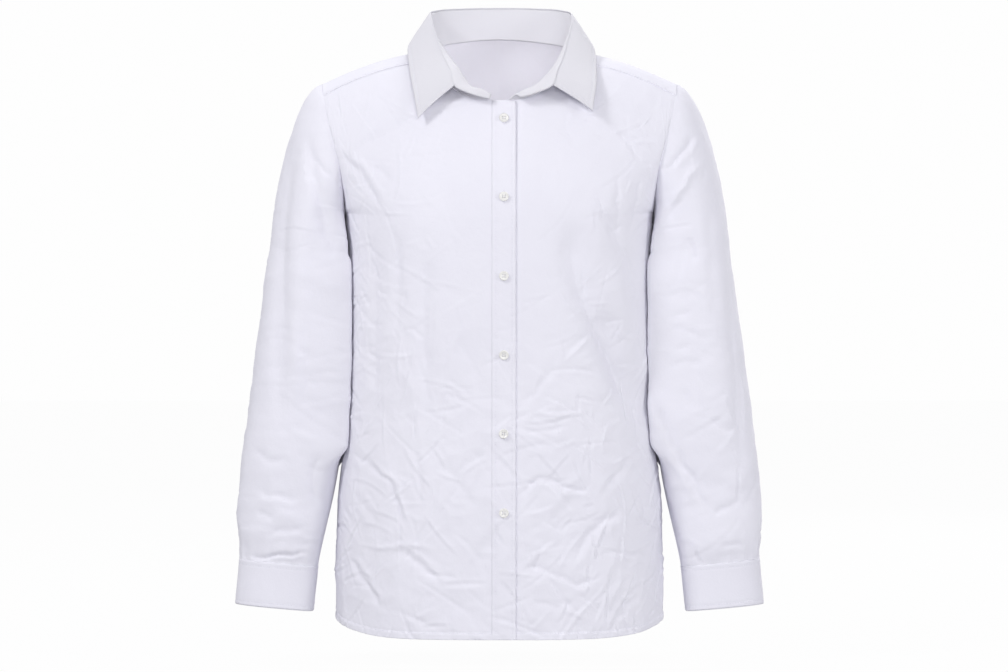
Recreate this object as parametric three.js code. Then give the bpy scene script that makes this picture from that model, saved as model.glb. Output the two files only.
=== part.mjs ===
// A long-sleeved button-up shirt, filled out as if worn, with no wearer.
//
// Millimetres, +Z up. The wearer faces -Y and the wearer's left is +X. The origin is on the
// centre plane, level with the neck points, where a wearer's shoulders carry the shirt.
// Every cloth piece is a wall of even thickness: a face(u, v) function gives its outer face,
// u runs to the right as the piece is seen from outside, and v runs up.
import * as THREE from "three";

// ---- Driving sizes ----
const CLOTH = 1.2; // one panel with its seam allowances
const STIFF_CLOTH = 1.6; // collar and cuffs, which hold an interlining
const SEAM_GAP = 0.3; // between the edges of two pieces
const LAP_GAP = 0.35; // between a piece and what lies on it
const HEM_FRONT = -690; // hem height at the centre front
const HEM_BACK = -692;
const HEM_SIDE = -672;
const ARMPIT_HEIGHT = -188;
const ARMPIT_CENTRE = -200; // how low the armpit rows run at the centre
const ROUNDNESS = 0.87; // power of the sine and cosine in a body section; 1 is an ellipse
const BAND = { width: 29, middle: 5.3 }; // the front band, which the buttons close
const BUTTON = { diameter: 11.4, thick: 2.4, first: -80, pitch: 92.4, count: 6, sides: 16 };
const BUTTON_HOLES = { diameter: 1.7, spacing: 3.0, count: 4, sides: 6 };
const CUFF = { top: -604.5, bottom: -658, start: 0.68, lap: 0.07 }; // start and lap are turns
const SLIT = { length: 118, clear: 1, from: 0.655, to: 0.73 }; // the strip along the opening
const SLEEVE_TILT = 0.09; // the outer side of a sleeve's ring stands higher than its inner side
const STAND_START = 0.035; // its lower edge stands clear of the neckline by this share
const STAND_LAST = 0.97; // the collar stand's ends, as a share of the way to the centre front

// ---- Body sections, from the hem up: half width, front depth and back depth ----
const BODY = [
  { z: -720, half: 196.0, front: 136, back: 130 },
  { z: -668, half: 196.0, front: 135, back: 128 },
  { z: -600, half: 195.5, front: 133, back: 125 },
  { z: -525, half: 193.5, front: 131, back: 121 },
  { z: -460, half: 186.0, front: 129, back: 117 },
  { z: -420, half: 182.0, front: 128, back: 114 },
  { z: -370, half: 180.8, front: 128, back: 112 },
  { z: -290, half: 180.0, front: 129, back: 112 },
  { z: -240, half: 179.5, front: 129, back: 114 },
  { z: -188, half: 184.0, front: 126, back: 117 },
  { z: -130, half: 187.0, front: 115, back: 115 },
  { z: -57, half: 205.0, front: 88, back: 95 },
  { z: 20, half: 214.0, front: 60, back: 60 },
];

// ---- The armhole, from the armpit up over the front to the shoulder and down the back ----
const ARMHOLE = [
  { turn: 0.0, x: 184, y: 0, z: -188 },
  { turn: 0.07, x: 184, y: -24, z: -183 },
  { turn: 0.16, x: 185, y: -48, z: -163 },
  { turn: 0.25, x: 190, y: -61, z: -132 },
  { turn: 0.33, x: 198, y: -58, z: -101 },
  { turn: 0.41, x: 206, y: -44, z: -68 },
  { turn: 0.455, x: 210, y: -27, z: -46 },
  { turn: 0.5, x: 213, y: 3, z: -33 },
  { turn: 0.55, x: 211, y: 36, z: -48 },
  { turn: 0.61, x: 206, y: 58, z: -76 },
  { turn: 0.7, x: 199, y: 73, z: -110 },
  { turn: 0.78, x: 192, y: 74, z: -138 },
  { turn: 0.86, x: 187, y: 55, z: -166 },
  { turn: 0.93, x: 184, y: 26, z: -184 },
  { turn: 1.0, x: 184, y: 0, z: -188 },
];
const FRONT_YOKE_TURN = 0.455; // where the yoke's front seam meets the armhole
const BACK_YOKE_TURN = 0.61;

// ---- The neckline, half of it, from the centre back to the centre front ----
const NECKLINE = [
  { at: 0.0, x: 0, y: 48.5, z: 23.5 },
  { at: 0.12, x: 27, y: 47, z: 22 },
  { at: 0.24, x: 54, y: 40, z: 18.5 },
  { at: 0.34, x: 73, y: 26, z: 14.5 },
  { at: 0.44, x: 82, y: 2, z: 9 },
  { at: 0.56, x: 80, y: -28, z: -6 },
  { at: 0.7, x: 67, y: -57, z: -31 },
  { at: 0.82, x: 46, y: -76, z: -48 },
  { at: 0.92, x: 24, y: -85, z: -55 },
  { at: 1.0, x: 3, y: -88, z: -57 },
];
const YOKE_NECK_AT = 0.56; // where the yoke's front seam meets the neckline

// ---- The yoke's crown: the line between its front and back edges, half of it ----
const YOKE_CROWN = [
  { at: 0.0, x: 0, y: 79, z: -12 },
  { at: 0.2, x: 44, y: 71, z: -12 },
  { at: 0.36, x: 76, y: 52, z: -6 },
  { at: 0.46, x: 90, y: 41, z: -3 },
  { at: 0.56, x: 98, y: 28, z: -1 },
  { at: 0.7, x: 145, y: 24, z: -12 },
  { at: 0.85, x: 181, y: 20, z: -24 },
  { at: 1.0, x: 212.5, y: 15, z: -36.5 },
];
const YOKE_BACK_HEIGHT = -62; // the yoke's back seam at the centre

// ---- The collar stand, from the wearer's right front end round the back to the left one ----
// Its lower edge is the neckline. The crest is its middle, or where its open end folds over.
const STAND = [
  { at: -1.0, crest: [-6, -91, -54], top: [-4, -94, -57.5] },
  { at: -0.9, crest: [-20, -88, -45.5], top: [-29, -98, -52] },
  { at: -0.8, crest: [-35, -82, -40], top: [-53, -93, -41] },
  { at: -0.7, crest: [-49, -66, -20], top: [-58, -76, -23] },
  { at: -0.58, crest: [-64, -43, 0], top: [-69, -48, 2] },
  { at: -0.46, crest: [-82, -6, 28], top: [-82, -8, 45] },
  { at: -0.3, crest: [-72, 30, 35], top: [-76, 30, 56] },
  { at: -0.15, crest: [-38, 47, 41], top: [-41, 50, 60] },
  { at: 0.0, crest: [0, 52, 43], top: [0, 56, 61] },
  { at: 0.15, crest: [38, 47, 41], top: [41, 50, 60] },
  { at: 0.3, crest: [72, 30, 35], top: [76, 30, 56] },
  { at: 0.46, crest: [84, -6, 28], top: [87, -8, 44] },
  { at: 0.58, crest: [73, -43, -1], top: [78, -48, 2] },
  { at: 0.7, crest: [61, -64, -21], top: [69, -76, -23] },
  { at: 0.8, crest: [45, -80, -38], top: [63, -93, -40] },
  { at: 0.9, crest: [28, -87, -46.5], top: [40, -98, -50.5] },
  { at: 1.0, crest: [15, -91, -54], top: [18, -95, -56] },
];

// ---- The collar fall's outer edge, from the right point round the back to the left point ----
const FALL = [
  { at: -0.8, x: -96, y: -98, z: -78 },
  { at: -0.7, x: -101, y: -80, z: -50 },
  { at: -0.58, x: -107, y: -48, z: -19 },
  { at: -0.46, x: -110, y: -10, z: 12 },
  { at: -0.3, x: -98, y: 45, z: 6 },
  { at: -0.15, x: -53, y: 70, z: 12 },
  { at: 0.0, x: 0, y: 77, z: 15 },
  { at: 0.15, x: 53, y: 70, z: 12 },
  { at: 0.3, x: 98, y: 45, z: 6 },
  { at: 0.46, x: 113, y: -10, z: 11.5 },
  { at: 0.58, x: 116, y: -48, z: -20 },
  { at: 0.7, x: 114, y: -78, z: -43 },
  { at: 0.8, x: 110, y: -98, z: -69 },
];
const FALL_LAST = 0.8; // the fall's front edges are at this share of the stand
const FALL_BULGE = 2; // how far the fall rounds out between its edge and its roll

// ---- Sleeve sections below the cap, from the top down ----
const SLEEVE = [
  { z: -232, inner: 189.5, outer: 275.5, deep: 66, y: 4 },
  { z: -262, inner: 184.8, outer: 280.0, deep: 66, y: 4 },
  { z: -300, inner: 182.4, outer: 284.5, deep: 63, y: 3 },
  { z: -370, inner: 183.4, outer: 294.0, deep: 57, y: 0 },
  { z: -420, inner: 184.9, outer: 300.0, deep: 53, y: -3 },
  { z: -460, inner: 189.3, outer: 304.6, deep: 51, y: -7 },
  { z: -495, inner: 193.8, outer: 309.0, deep: 48, y: -11 },
  { z: -525, inner: 199.5, outer: 311.5, deep: 45, y: -14 },
  { z: -556, inner: 206.5, outer: 313.0, deep: 41, y: -18 },
  { z: -585, inner: 213.0, outer: 311.5, deep: 36, y: -22 },
  { z: -604.5, inner: 216.5, outer: 310.5, deep: 30, y: -24 },
  { z: -658, inner: 222.0, outer: 315.0, deep: 29.5, y: -28 },
];

// ---- The largest folds: a straight trough from one point to another, seen from the front ----
const FRONT_FOLDS = [
  { from: [-154, -215], to: [-150, -440], wide: 11, deep: 2.6 },
  { from: [-121, -225], to: [-124, -345], wide: 9, deep: 2.2 },
  { from: [-88, -235], to: [-92, -440], wide: 12, deep: 2.6 },
  { from: [-186, -115], to: [-138, -165], wide: 9, deep: 3.0 },
  { from: [-158, -490], to: [-112, -575], wide: 10, deep: 3.2 },
  { from: [-176, -595], to: [-140, -655], wide: 11, deep: 3.6 },
  { from: [-112, -585], to: [-66, -625], wide: 10, deep: 2.8 },
  { from: [0, -555], to: [-34, -598], wide: 12, deep: 2.4 },
  { from: [82, -195], to: [112, -310], wide: 17, deep: 3.4 },
  { from: [112, -310], to: [172, -440], wide: 17, deep: 3.6 },
  { from: [126, -190], to: [160, -275], wide: 13, deep: 2.6 },
  { from: [26, -515], to: [60, -498], wide: 10, deep: 3.4 },
  { from: [60, -498], to: [108, -512], wide: 10, deep: 3.0 },
  { from: [92, -600], to: [142, -540], wide: 12, deep: 2.6 },
];
const BACK_FOLDS = [
  { from: [-120, -150], to: [-150, -430], wide: 18, deep: 3.6 },
  { from: [-52, -110], to: [-70, -480], wide: 16, deep: 3.0 },
  { from: [40, -120], to: [58, -520], wide: 18, deep: 3.2 },
  { from: [118, -160], to: [142, -440], wide: 17, deep: 3.6 },
  { from: [-150, -560], to: [-60, -620], wide: 13, deep: 2.8 },
  { from: [66, -600], to: [150, -545], wide: 13, deep: 2.8 },
];

// ---- How finely each piece is divided ----
const STEPS = {
  front: [11, 24],
  back: [18, 22],
  yoke: [26, 7],
  band: [1, 22],
  stand: [34, 4],
  leaf: [26, 4],
  sleeve: [22, 12],
  cuff: [24, 2],
  slit: [2, 5],
};

// ---- Colours ----
const SHIRTING = { color: 0xeeedf6, roughness: 0.86, metalness: 0 };
const INTERLINED = { color: 0xecebf4, roughness: 0.84, metalness: 0 };
const BUTTON_PLASTIC = { color: 0xeff0ee, roughness: 0.35, metalness: 0 };

const { clamp, lerp, smoothstep } = THREE.MathUtils;
const shirt = new THREE.Group();

// ---- Reading a table ----

// The value of one column between a table's rows, on a smooth curve through them.
function readColumn(rows, key, at, column) {
  const value = (row) => (Array.isArray(column) ? row[column[0]][column[1]] : row[column]);
  const rising = rows[0][key] < rows[rows.length - 1][key];
  let i = rows.findIndex((row) => (rising ? row[key] >= at : row[key] <= at));
  i = clamp(i < 0 ? rows.length - 1 : i, 1, rows.length - 1);
  const [a, b] = [rows[i - 1], rows[i]];
  const [before, after] = [rows[Math.max(i - 2, 0)], rows[Math.min(i + 1, rows.length - 1)]];
  const span = b[key] - a[key];
  const t = clamp((at - a[key]) / span, 0, 1);
  const slopeA = ((value(b) - value(before)) / (b[key] - before[key])) * span;
  const slopeB = ((value(after) - value(a)) / (after[key] - a[key])) * span;
  const t2 = t * t;
  const t3 = t2 * t;
  return (
    (2 * t3 - 3 * t2 + 1) * value(a) +
    (t3 - 2 * t2 + t) * slopeA +
    (-2 * t3 + 3 * t2) * value(b) +
    (t3 - t2) * slopeB
  );
}

const pointAt = (rows, key, at) =>
  new THREE.Vector3(...["x", "y", "z"].map((axis) => readColumn(rows, key, at, axis)));

const cornerAt = (rows, key, at, name) =>
  new THREE.Vector3(...[0, 1, 2].map((axis) => readColumn(rows, key, at, [name, axis])));

// ---- Walls ----

// The outer face's points, row by row. A ring's last column is its first one again.
function facePoints(face, [across, up]) {
  return Array.from({ length: up + 1 }, (_, r) =>
    Array.from({ length: across + 1 }, (_, c) => face(c / across, r / up)),
  );
}

const TRIM_SHARE = 0.6; // a little over half, because faceted edges cut corners

// Moves the outline in by its share of a seam gap, so that a neighbour's edge stays clear.
function trimOutline(points, ring) {
  const rows = points.length;
  const columns = points[0].length;
  const pull = (edge, inside) => {
    const step = inside.clone().sub(edge);
    edge.addScaledVector(step.normalize(), SEAM_GAP * TRIM_SHARE);
  };
  for (let c = 0; c < columns; c += 1) {
    pull(points[0][c], points[1][c]);
    pull(points[rows - 1][c], points[rows - 2][c]);
  }
  if (ring) return;
  for (let r = 0; r < rows; r += 1) {
    pull(points[r][0], points[r][1]);
    pull(points[r][columns - 1], points[r][columns - 2]);
  }
}

const LONG_STEP = 1.35; // a step this much longer than the last turns a corner of the outline

// The outward direction at each point of the face.
function faceNormals(points, ring) {
  const rows = points.length;
  const columns = points[0].length;
  const last = columns - 1;
  return points.map((row, r) =>
    row.map((_, c) => {
      const left = ring && c === 0 ? last - 1 : Math.max(c - 1, 0);
      const right = ring && c === last ? 1 : Math.min(c + 1, last);
      const across = row[right].clone().sub(row[left]);
      const above = r < rows - 1 ? points[r + 1][c].clone().sub(row[c]) : null;
      const below = r > 0 ? row[c].clone().sub(points[r - 1][c]) : null;
      const up = above ?? below;
      const turnsCorner = above && below && below.length() * LONG_STEP < above.length();
      if (turnsCorner) up.copy(below);
      else if (above && below) up.add(below);
      return across.cross(up).normalize();
    }),
  );
}

// A closed wall: the outer face, the same face moved in by the thickness, and the rim.
function wall(face, steps, thickness, { ring = false, out = 0 } = {}) {
  const middle = facePoints(face, steps);
  const normals = faceNormals(middle, ring);
  const moved = (distance) =>
    middle.map((row, r) =>
      row.map((point, c) => point.clone().addScaledVector(normals[r][c], distance)),
    );
  const outer = moved(out);
  const inner = moved(out - thickness);
  trimOutline(outer, ring);
  trimOutline(inner, ring);
  const columns = ring ? steps[0] : steps[0] + 1;
  const rows = steps[1] + 1;
  const position = [outer, inner].flatMap((side) =>
    side.flatMap((row) => row.slice(0, columns).flatMap((point) => point.toArray())),
  );
  const at = (side, r, c) => (side * rows + r) * columns + (c % columns);
  const index = [];
  const quad = (a, b, c, d) => index.push(a, b, c, a, c, d);
  for (let r = 0; r < rows - 1; r += 1) {
    for (let c = 0; c < steps[0]; c += 1) {
      quad(at(0, r, c), at(0, r, c + 1), at(0, r + 1, c + 1), at(0, r + 1, c));
      quad(at(1, r, c), at(1, r + 1, c), at(1, r + 1, c + 1), at(1, r, c + 1));
    }
  }
  for (let c = 0; c < steps[0]; c += 1) {
    const top = rows - 1;
    quad(at(1, 0, c), at(1, 0, c + 1), at(0, 0, c + 1), at(0, 0, c));
    quad(at(0, top, c), at(0, top, c + 1), at(1, top, c + 1), at(1, top, c));
  }
  if (!ring) {
    for (let r = 0; r < rows - 1; r += 1) {
      const end = columns - 1;
      quad(at(0, r, 0), at(0, r + 1, 0), at(1, r + 1, 0), at(1, r, 0));
      quad(at(0, r, end), at(1, r, end), at(1, r + 1, end), at(0, r + 1, end));
    }
  }
  const geometry = new THREE.BufferGeometry();
  geometry.setAttribute("position", new THREE.Float32BufferAttribute(position, 3));
  geometry.setIndex(index);
  geometry.computeVertexNormals();
  return geometry;
}

function addPiece(name, geometry, finish) {
  const mesh = new THREE.Mesh(geometry, new THREE.MeshStandardMaterial(finish));
  mesh.name = name;
  shirt.add(mesh);
  return mesh;
}

// ---- Folds ----

const FOLD_ENDS = { start: [-0.15, 0.25], stop: [0.75, 1.15] }; // where a fold sinks in and ends
const CALM = { band: [22, 50], side: [150, 176], yoke: [0.9, 1] }; // folds fade out in these

// How far a fold's trough presses the cloth in at a place on the panel.
function foldDepth(folds, x, z) {
  return folds.reduce((sum, fold) => {
    const run = [fold.to[0] - fold.from[0], fold.to[1] - fold.from[1]];
    const long = Math.hypot(...run);
    const off = [x - fold.from[0], z - fold.from[1]];
    const along = (off[0] * run[0] + off[1] * run[1]) / long ** 2;
    const aside = (off[0] * run[1] - off[1] * run[0]) / long;
    const begun = smoothstep(along, ...FOLD_ENDS.start);
    const ended = smoothstep(along, ...FOLD_ENDS.stop);
    return sum + fold.deep * begun * (1 - ended) * Math.exp(-((aside / fold.wide) ** 2));
  }, 0);
}

// ---- The body's rows ----

const ARMPIT_V = 17 / 24; // the share of a panel's rows that lie below the armpit
const NECK_V = 21 / 24; // and below the base of the neckline

// A row's end at the side seam, or on the armhole above the armpit.
function outerEnd(v, yokeTurn) {
  if (v > ARMPIT_V) {
    const share = (v - ARMPIT_V) / (1 - ARMPIT_V);
    const turn = yokeTurn > 0.5 ? 1 - share * (1 - yokeTurn) : share * yokeTurn;
    return pointAt(ARMHOLE, "turn", turn);
  }
  const z = lerp(HEM_SIDE, ARMPIT_HEIGHT, v / ARMPIT_V);
  return new THREE.Vector3(readColumn(BODY, "z", z, "half"), 0, z);
}

// The angle round a body section that lies this share of the half width from the centre.
const angleOf = (share) => Math.sign(share) * Math.asin(Math.abs(share) ** (1 / ROUNDNESS));
const sineOf = (angle) => Math.sign(angle) * Math.abs(Math.sin(angle)) ** ROUNDNESS;
const cosineOf = (angle) => Math.max(Math.cos(angle), 0) ** ROUNDNESS;

const STRAIGHTEST = 0.75; // how straight a row runs at the yoke
// A row's height changes late on its way to the side at the hem, and early above the armpit.
const LEVEL = { hem: 6, chest: 1.8, from: 0.3, to: ARMPIT_V + 0.15 };

// A place on a row. The cloth wraps round below the armpit, and runs straighter above it,
// from the neck to the armhole.
function rowPoint(inner, outer, angle, v) {
  const from = Math.max(inner.x, 0);
  const x = outer.x * sineOf(angle);
  const share = clamp((Math.abs(x) - from) / (outer.x - from), 0, 1);
  const wrapped = cosineOf(angle) / cosineOf(angleOf(from / outer.x));
  const straight = STRAIGHTEST * smoothstep(v, ARMPIT_V, 1);
  const y = lerp(outer.y, inner.y, lerp(wrapped, 1 - share ** 2, straight));
  const level = lerp(LEVEL.hem, LEVEL.chest, smoothstep(v, LEVEL.from, LEVEL.to));
  return new THREE.Vector3(x, y, lerp(inner.z, outer.z, share ** level));
}

// A front panel. side is -1 for the wearer's right and 1 for the left, and edge is how far
// the panel's free edge stands from the centre towards its own side.
function frontPoint(side, edge, u, v) {
  const outer = outerEnd(v, FRONT_YOKE_TURN);
  const low = lerp(HEM_FRONT, ARMPIT_CENTRE, Math.min(v / ARMPIT_V, 1));
  const neckBase = NECKLINE.at(-1).z;
  const z = lerp(low, neckBase, clamp((v - ARMPIT_V) / (NECK_V - ARMPIT_V), 0, 1));
  const neckAt = lerp(1, YOKE_NECK_AT, (v - NECK_V) / (1 - NECK_V));
  const inner =
    v > NECK_V
      ? pointAt(NECKLINE, "at", neckAt)
      : new THREE.Vector3(edge, -readColumn(BODY, "z", z, "front"), z);
  const start = angleOf(inner.x / outer.x);
  const point = rowPoint(inner, outer, lerp(start, Math.PI / 2, u), v);
  const aside = Math.abs(point.x);
  const calm = smoothstep(aside, ...CALM.band) * (1 - smoothstep(aside, ...CALM.side));
  point.x *= side;
  point.y += foldDepth(FRONT_FOLDS, point.x, point.z) * calm;
  return point;
}

// The back panel, from the wearer's left side seam to the right one.
function backPoint(u, v) {
  const angle = lerp(Math.PI / 2, -Math.PI / 2, u);
  const outer = outerEnd(v, BACK_YOKE_TURN);
  const low = lerp(HEM_BACK, ARMPIT_CENTRE, Math.min(v / ARMPIT_V, 1));
  const z = lerp(low, YOKE_BACK_HEIGHT, clamp((v - ARMPIT_V) / (1 - ARMPIT_V), 0, 1));
  const inner = new THREE.Vector3(0, readColumn(BODY, "z", z, "back"), z);
  const point = rowPoint(inner, outer, angle, v);
  const calm = 1 - smoothstep(Math.abs(point.x), ...CALM.side);
  const belowYoke = 1 - smoothstep(v, ...CALM.yoke);
  point.y -= foldDepth(BACK_FOLDS, point.x, point.z) * calm * belowYoke;
  return point;
}

// The right front laps over the left one, which lies under it at the band.
const BAND_EDGE = BAND.middle + BAND.width / 2;
const UNDER = { edge: BAND.middle - BAND.width / 2, drop: CLOTH + 3 * LAP_GAP, ease: 30 };

const rightFront = (u, v) => frontPoint(-1, -BAND_EDGE, 1 - u, v);

function leftFront(u, v) {
  const point = frontPoint(1, UNDER.edge, u, v);
  const under = 1 - smoothstep(point.x, BAND_EDGE, BAND_EDGE + UNDER.ease);
  point.y += UNDER.drop * under * (1 + smoothstep(v, ARMPIT_V, NECK_V));
  return point;
}

const BAND_START = 0.001; // the band's lower end stands clear of the hem by this share

// The band lies on the right front, and its edge is the right front's free edge.
function bandFace(u, v) {
  const along = lerp(BAND_START, NECK_V, v);
  const x = lerp(UNDER.edge, BAND_EDGE, u);
  const outer = outerEnd(along, FRONT_YOKE_TURN);
  const start = angleOf(-BAND_EDGE / outer.x);
  const angle = angleOf(-x / outer.x);
  return frontPoint(-1, -BAND_EDGE, (angle - start) / (Math.PI / 2 - start), along);
}

// ---- The yoke ----

const YOKE_SPAN = [0.004, 0.99]; // its edges stand clear of the panels by these shares

// The yoke, from its seam on the fronts over the shoulders to its seam on the back.
function yokePoint(u, v) {
  const across = lerp(-1, 1, u);
  const side = across < 0 ? -1 : 1;
  const at = Math.abs(across);
  const onFront = (at - YOKE_NECK_AT) / (1 - YOKE_NECK_AT);
  const front = at > YOKE_NECK_AT ? frontPoint(side, 0, onFront, 1) : pointAt(NECKLINE, "at", at);
  if (at <= YOKE_NECK_AT) front.x *= side;
  const crown = pointAt(YOKE_CROWN, "at", at);
  crown.x *= side;
  const back = backPoint(0.5 - angleOf(at) * side / Math.PI, 1);
  return throughThree(front, crown, back, lerp(...YOKE_SPAN, v));
}

// A smooth line that starts at a, passes b halfway and ends at c.
function throughThree(a, b, c, t) {
  const point = a.clone().multiplyScalar((1 - t) * (1 - 2 * t));
  point.addScaledVector(b, 4 * t * (1 - t));
  return point.addScaledVector(c, t * (2 * t - 1));
}

// ---- The collar ----

// The neckline, on both sides.
function necklineAt(at) {
  const point = pointAt(NECKLINE, "at", Math.abs(at));
  point.x *= Math.sign(at);
  return point;
}

// The stand, from the wearer's left front end round the back to the right one.
function standPoint(u, v) {
  const at = lerp(STAND_LAST, -STAND_LAST, u);
  const crest = cornerAt(STAND, "at", at, "crest");
  const top = cornerAt(STAND, "at", at, "top");
  return throughThree(necklineAt(at), crest, top, lerp(STAND_START, 1, v));
}

// The fall, from its free edge up to the top of the stand, which it folds down from.
function fallPoint(u, v) {
  const at = lerp(FALL_LAST, -FALL_LAST, u);
  const edge = pointAt(FALL, "at", at);
  const top = cornerAt(STAND, "at", at, "top");
  const outwards = edge.clone().sub(top).setZ(0).normalize();
  top.addScaledVector(outwards, STIFF_CLOTH + LAP_GAP);
  const middle = edge.clone().lerp(top, 0.5).addScaledVector(outwards, FALL_BULGE);
  return throughThree(edge, middle, top, v);
}

// ---- Sleeves ----

// A ring of a sleeve or cuff at this height. turn runs from the side next to the body (0) over
// the front (0.25), the outer side (0.5) and the back (0.75).
function sleeveRing(z, turn, grow = 0) {
  const inner = readColumn(SLEEVE, "z", z, "inner");
  const outer = readColumn(SLEEVE, "z", z, "outer");
  const angle = turn * 2 * Math.PI;
  const wide = (outer - inner) / 2 + grow;
  const deep = readColumn(SLEEVE, "z", z, "deep") + grow;
  const aside = -Math.cos(angle) * wide;
  const y = readColumn(SLEEVE, "z", z, "y") - Math.sin(angle) * deep;
  return new THREE.Vector3((inner + outer) / 2 + aside, y, z + SLEEVE_TILT * aside);
}

// How the cap leaves the armhole and arrives at the sleeve's first ring: each pair is its run
// at the armpit and at the shoulder. Its front and back bulge out and hang down by the rest.
const CAP = {
  leaveOut: [4, 104],
  leaveDown: [-50, -30],
  arriveOut: [-2, 15],
  arriveDown: [-60, -200],
  bulge: 14,
  hang: 60,
  rise: 1.5,
};

// The sleeve's cap leaves the armhole outwards at the shoulder and downwards at the armpit.
function capPoint(turn, share) {
  const from = pointAt(ARMHOLE, "turn", turn);
  const to = sleeveRing(SLEEVE[0].z, turn);
  const forward = Math.sin(turn * 2 * Math.PI);
  const top = (1 - Math.cos(turn * 2 * Math.PI)) / 2;
  const down = lerp(...CAP.leaveDown, top) - forward ** 2 * CAP.hang;
  const leave = new THREE.Vector3(lerp(...CAP.leaveOut, top ** CAP.rise), -forward * CAP.bulge, down);
  const arrive = new THREE.Vector3(lerp(...CAP.arriveOut, top), 0, lerp(...CAP.arriveDown, top));
  const [s, s2, s3] = [share, share ** 2, share ** 3];
  return new THREE.Vector3()
    .addScaledVector(from, 2 * s3 - 3 * s2 + 1)
    .addScaledVector(leave, s3 - 2 * s2 + s)
    .addScaledVector(to, -2 * s3 + 3 * s2)
    .addScaledVector(arrive, s3 - s2);
}

const CAP_SHARE = 0.4; // the share of the sleeve's rows that belong to its cap
const CAP_START = 0.006; // its upper edge stands clear of the armhole by this share

// A sleeve from the cuff's seam up to the armhole, going round so that its outside faces out.
function sleevePoint(side, u, v) {
  const turn = side > 0 ? u : 1 - u;
  const low = clamp(v / (1 - CAP_SHARE), 0, 1);
  const point =
    v < 1 - CAP_SHARE
      ? sleeveRing(lerp(CUFF.top, SLEEVE[0].z, low), turn)
      : capPoint(turn, lerp(CAP_START, 1, (1 - v) / CAP_SHARE));
  point.x *= side;
  return point;
}

const LAP_RISE = 1.7; // the cuff starts to rise over its own start this many laps from its end

// The cuff: a band round the wrist whose end laps over its start at the back.
function cuffPoint(side, u, v) {
  const turn = CUFF.start + u * (1 + CUFF.lap);
  const raised = smoothstep(u, 1 - CUFF.lap * LAP_RISE, 1 - CUFF.lap);
  const over = raised * (STIFF_CLOTH + 2 * LAP_GAP);
  const point = sleeveRing(lerp(CUFF.bottom, CUFF.top, v), turn % 1, over);
  point.x *= side;
  return point;
}

// The strip that finishes the sleeve's opening, on the sleeve above the cuff's lap.
function slitPoint(side, u, v) {
  const z = lerp(CUFF.top + SLIT.clear, CUFF.top + SLIT.length, v);
  const point = sleeveRing(z, lerp(SLIT.from, SLIT.to, u));
  point.x *= side;
  return point;
}

// ---- Buttons ----

const MIDDLE_OF_LAP = 0.55; // a little past it, seen from the cuff's end
const CUFF_BUTTON_AT = 1 - (CUFF.lap * MIDDLE_OF_LAP) / (1 + CUFF.lap);

const NEARBY = 0.01; // how far off a face is felt for the way that it looks

// A place on a face, and the way that the face looks there.
function facing(face, u, v) {
  const up = face(u, v + NEARBY).sub(face(u, v - NEARBY));
  const across = face(u + NEARBY, v).sub(face(u - NEARBY, v));
  return { place: face(u, v), normal: across.cross(up).normalize() };
}

// The share of the way up the band at which its middle line reaches this height, by halving.
function bandShareAt(z) {
  const smallest = 1e-5;
  let v = 0.5;
  for (let step = 0.25; step > smallest; step /= 2) {
    v += bandFace(0.5, v).z < z ? step : -step;
  }
  return v;
}

// A corner of a regular outline round a middle.
const cornerOf = ([x, y], radius, share) =>
  new THREE.Vector2(
    x + radius * Math.cos(share * 2 * Math.PI),
    y + radius * Math.sin(share * 2 * Math.PI),
  );

const ringOf = (middle, radius, count) =>
  Array.from({ length: count }, (_, i) => cornerOf(middle, radius, i / count));

function buttonGeometry() {
  const outline = new THREE.Shape(ringOf([0, 0], BUTTON.diameter / 2, BUTTON.sides));
  for (let i = 0; i < BUTTON_HOLES.count; i += 1) {
    const out = BUTTON_HOLES.spacing / Math.SQRT2;
    const middle = cornerOf([0, 0], out, (i + 0.5) / BUTTON_HOLES.count);
    const hole = ringOf(middle.toArray(), BUTTON_HOLES.diameter / 2, BUTTON_HOLES.sides);
    outline.holes.push(new THREE.Path(hole));
  }
  return new THREE.ExtrudeGeometry(outline, { depth: BUTTON.thick, bevelEnabled: false });
}

// Sews a button on, its back this far off the cloth, facing along the normal.
function addButton(name, place, normal, lift) {
  const button = addPiece(name, buttonGeometry(), BUTTON_PLASTIC);
  button.position.copy(place).addScaledVector(normal, lift);
  button.quaternion.setFromUnitVectors(new THREE.Vector3(0, 0, 1), normal);
}

// ---- The shirt ----

addPiece("right_front", wall(rightFront, STEPS.front, CLOTH), SHIRTING);
addPiece("left_front", wall(leftFront, STEPS.front, CLOTH), SHIRTING);
addPiece("back", wall(backPoint, STEPS.back, CLOTH), SHIRTING);
addPiece("yoke", wall(yokePoint, STEPS.yoke, CLOTH), SHIRTING);
addPiece("front_band", wall(bandFace, STEPS.band, CLOTH, { out: CLOTH + LAP_GAP }), SHIRTING);
addPiece("collar_stand", wall(standPoint, STEPS.stand, STIFF_CLOTH), INTERLINED);
addPiece("collar_fall", wall(fallPoint, STEPS.leaf, STIFF_CLOTH), INTERLINED);
for (const [name, side] of [["right", -1], ["left", 1]]) {
  const sleeve = (u, v) => sleevePoint(side, u, v);
  addPiece(`${name}_sleeve`, wall(sleeve, STEPS.sleeve, CLOTH, { ring: true }), SHIRTING);
  const cuff = (u, v) => cuffPoint(side, side > 0 ? u : 1 - u, v);
  addPiece(`${name}_cuff`, wall(cuff, STEPS.cuff, STIFF_CLOTH), INTERLINED);
  const slit = (u, v) => slitPoint(side, side > 0 ? u : 1 - u, v);
  const onSleeve = { out: CLOTH + LAP_GAP };
  addPiece(`${name}_sleeve_placket`, wall(slit, STEPS.slit, CLOTH, onSleeve), SHIRTING);
  const { place, normal } = facing(cuff, side > 0 ? CUFF_BUTTON_AT : 1 - CUFF_BUTTON_AT, 0.5);
  addButton(`${name}_cuff_button`, place, normal, LAP_GAP);
}
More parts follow.
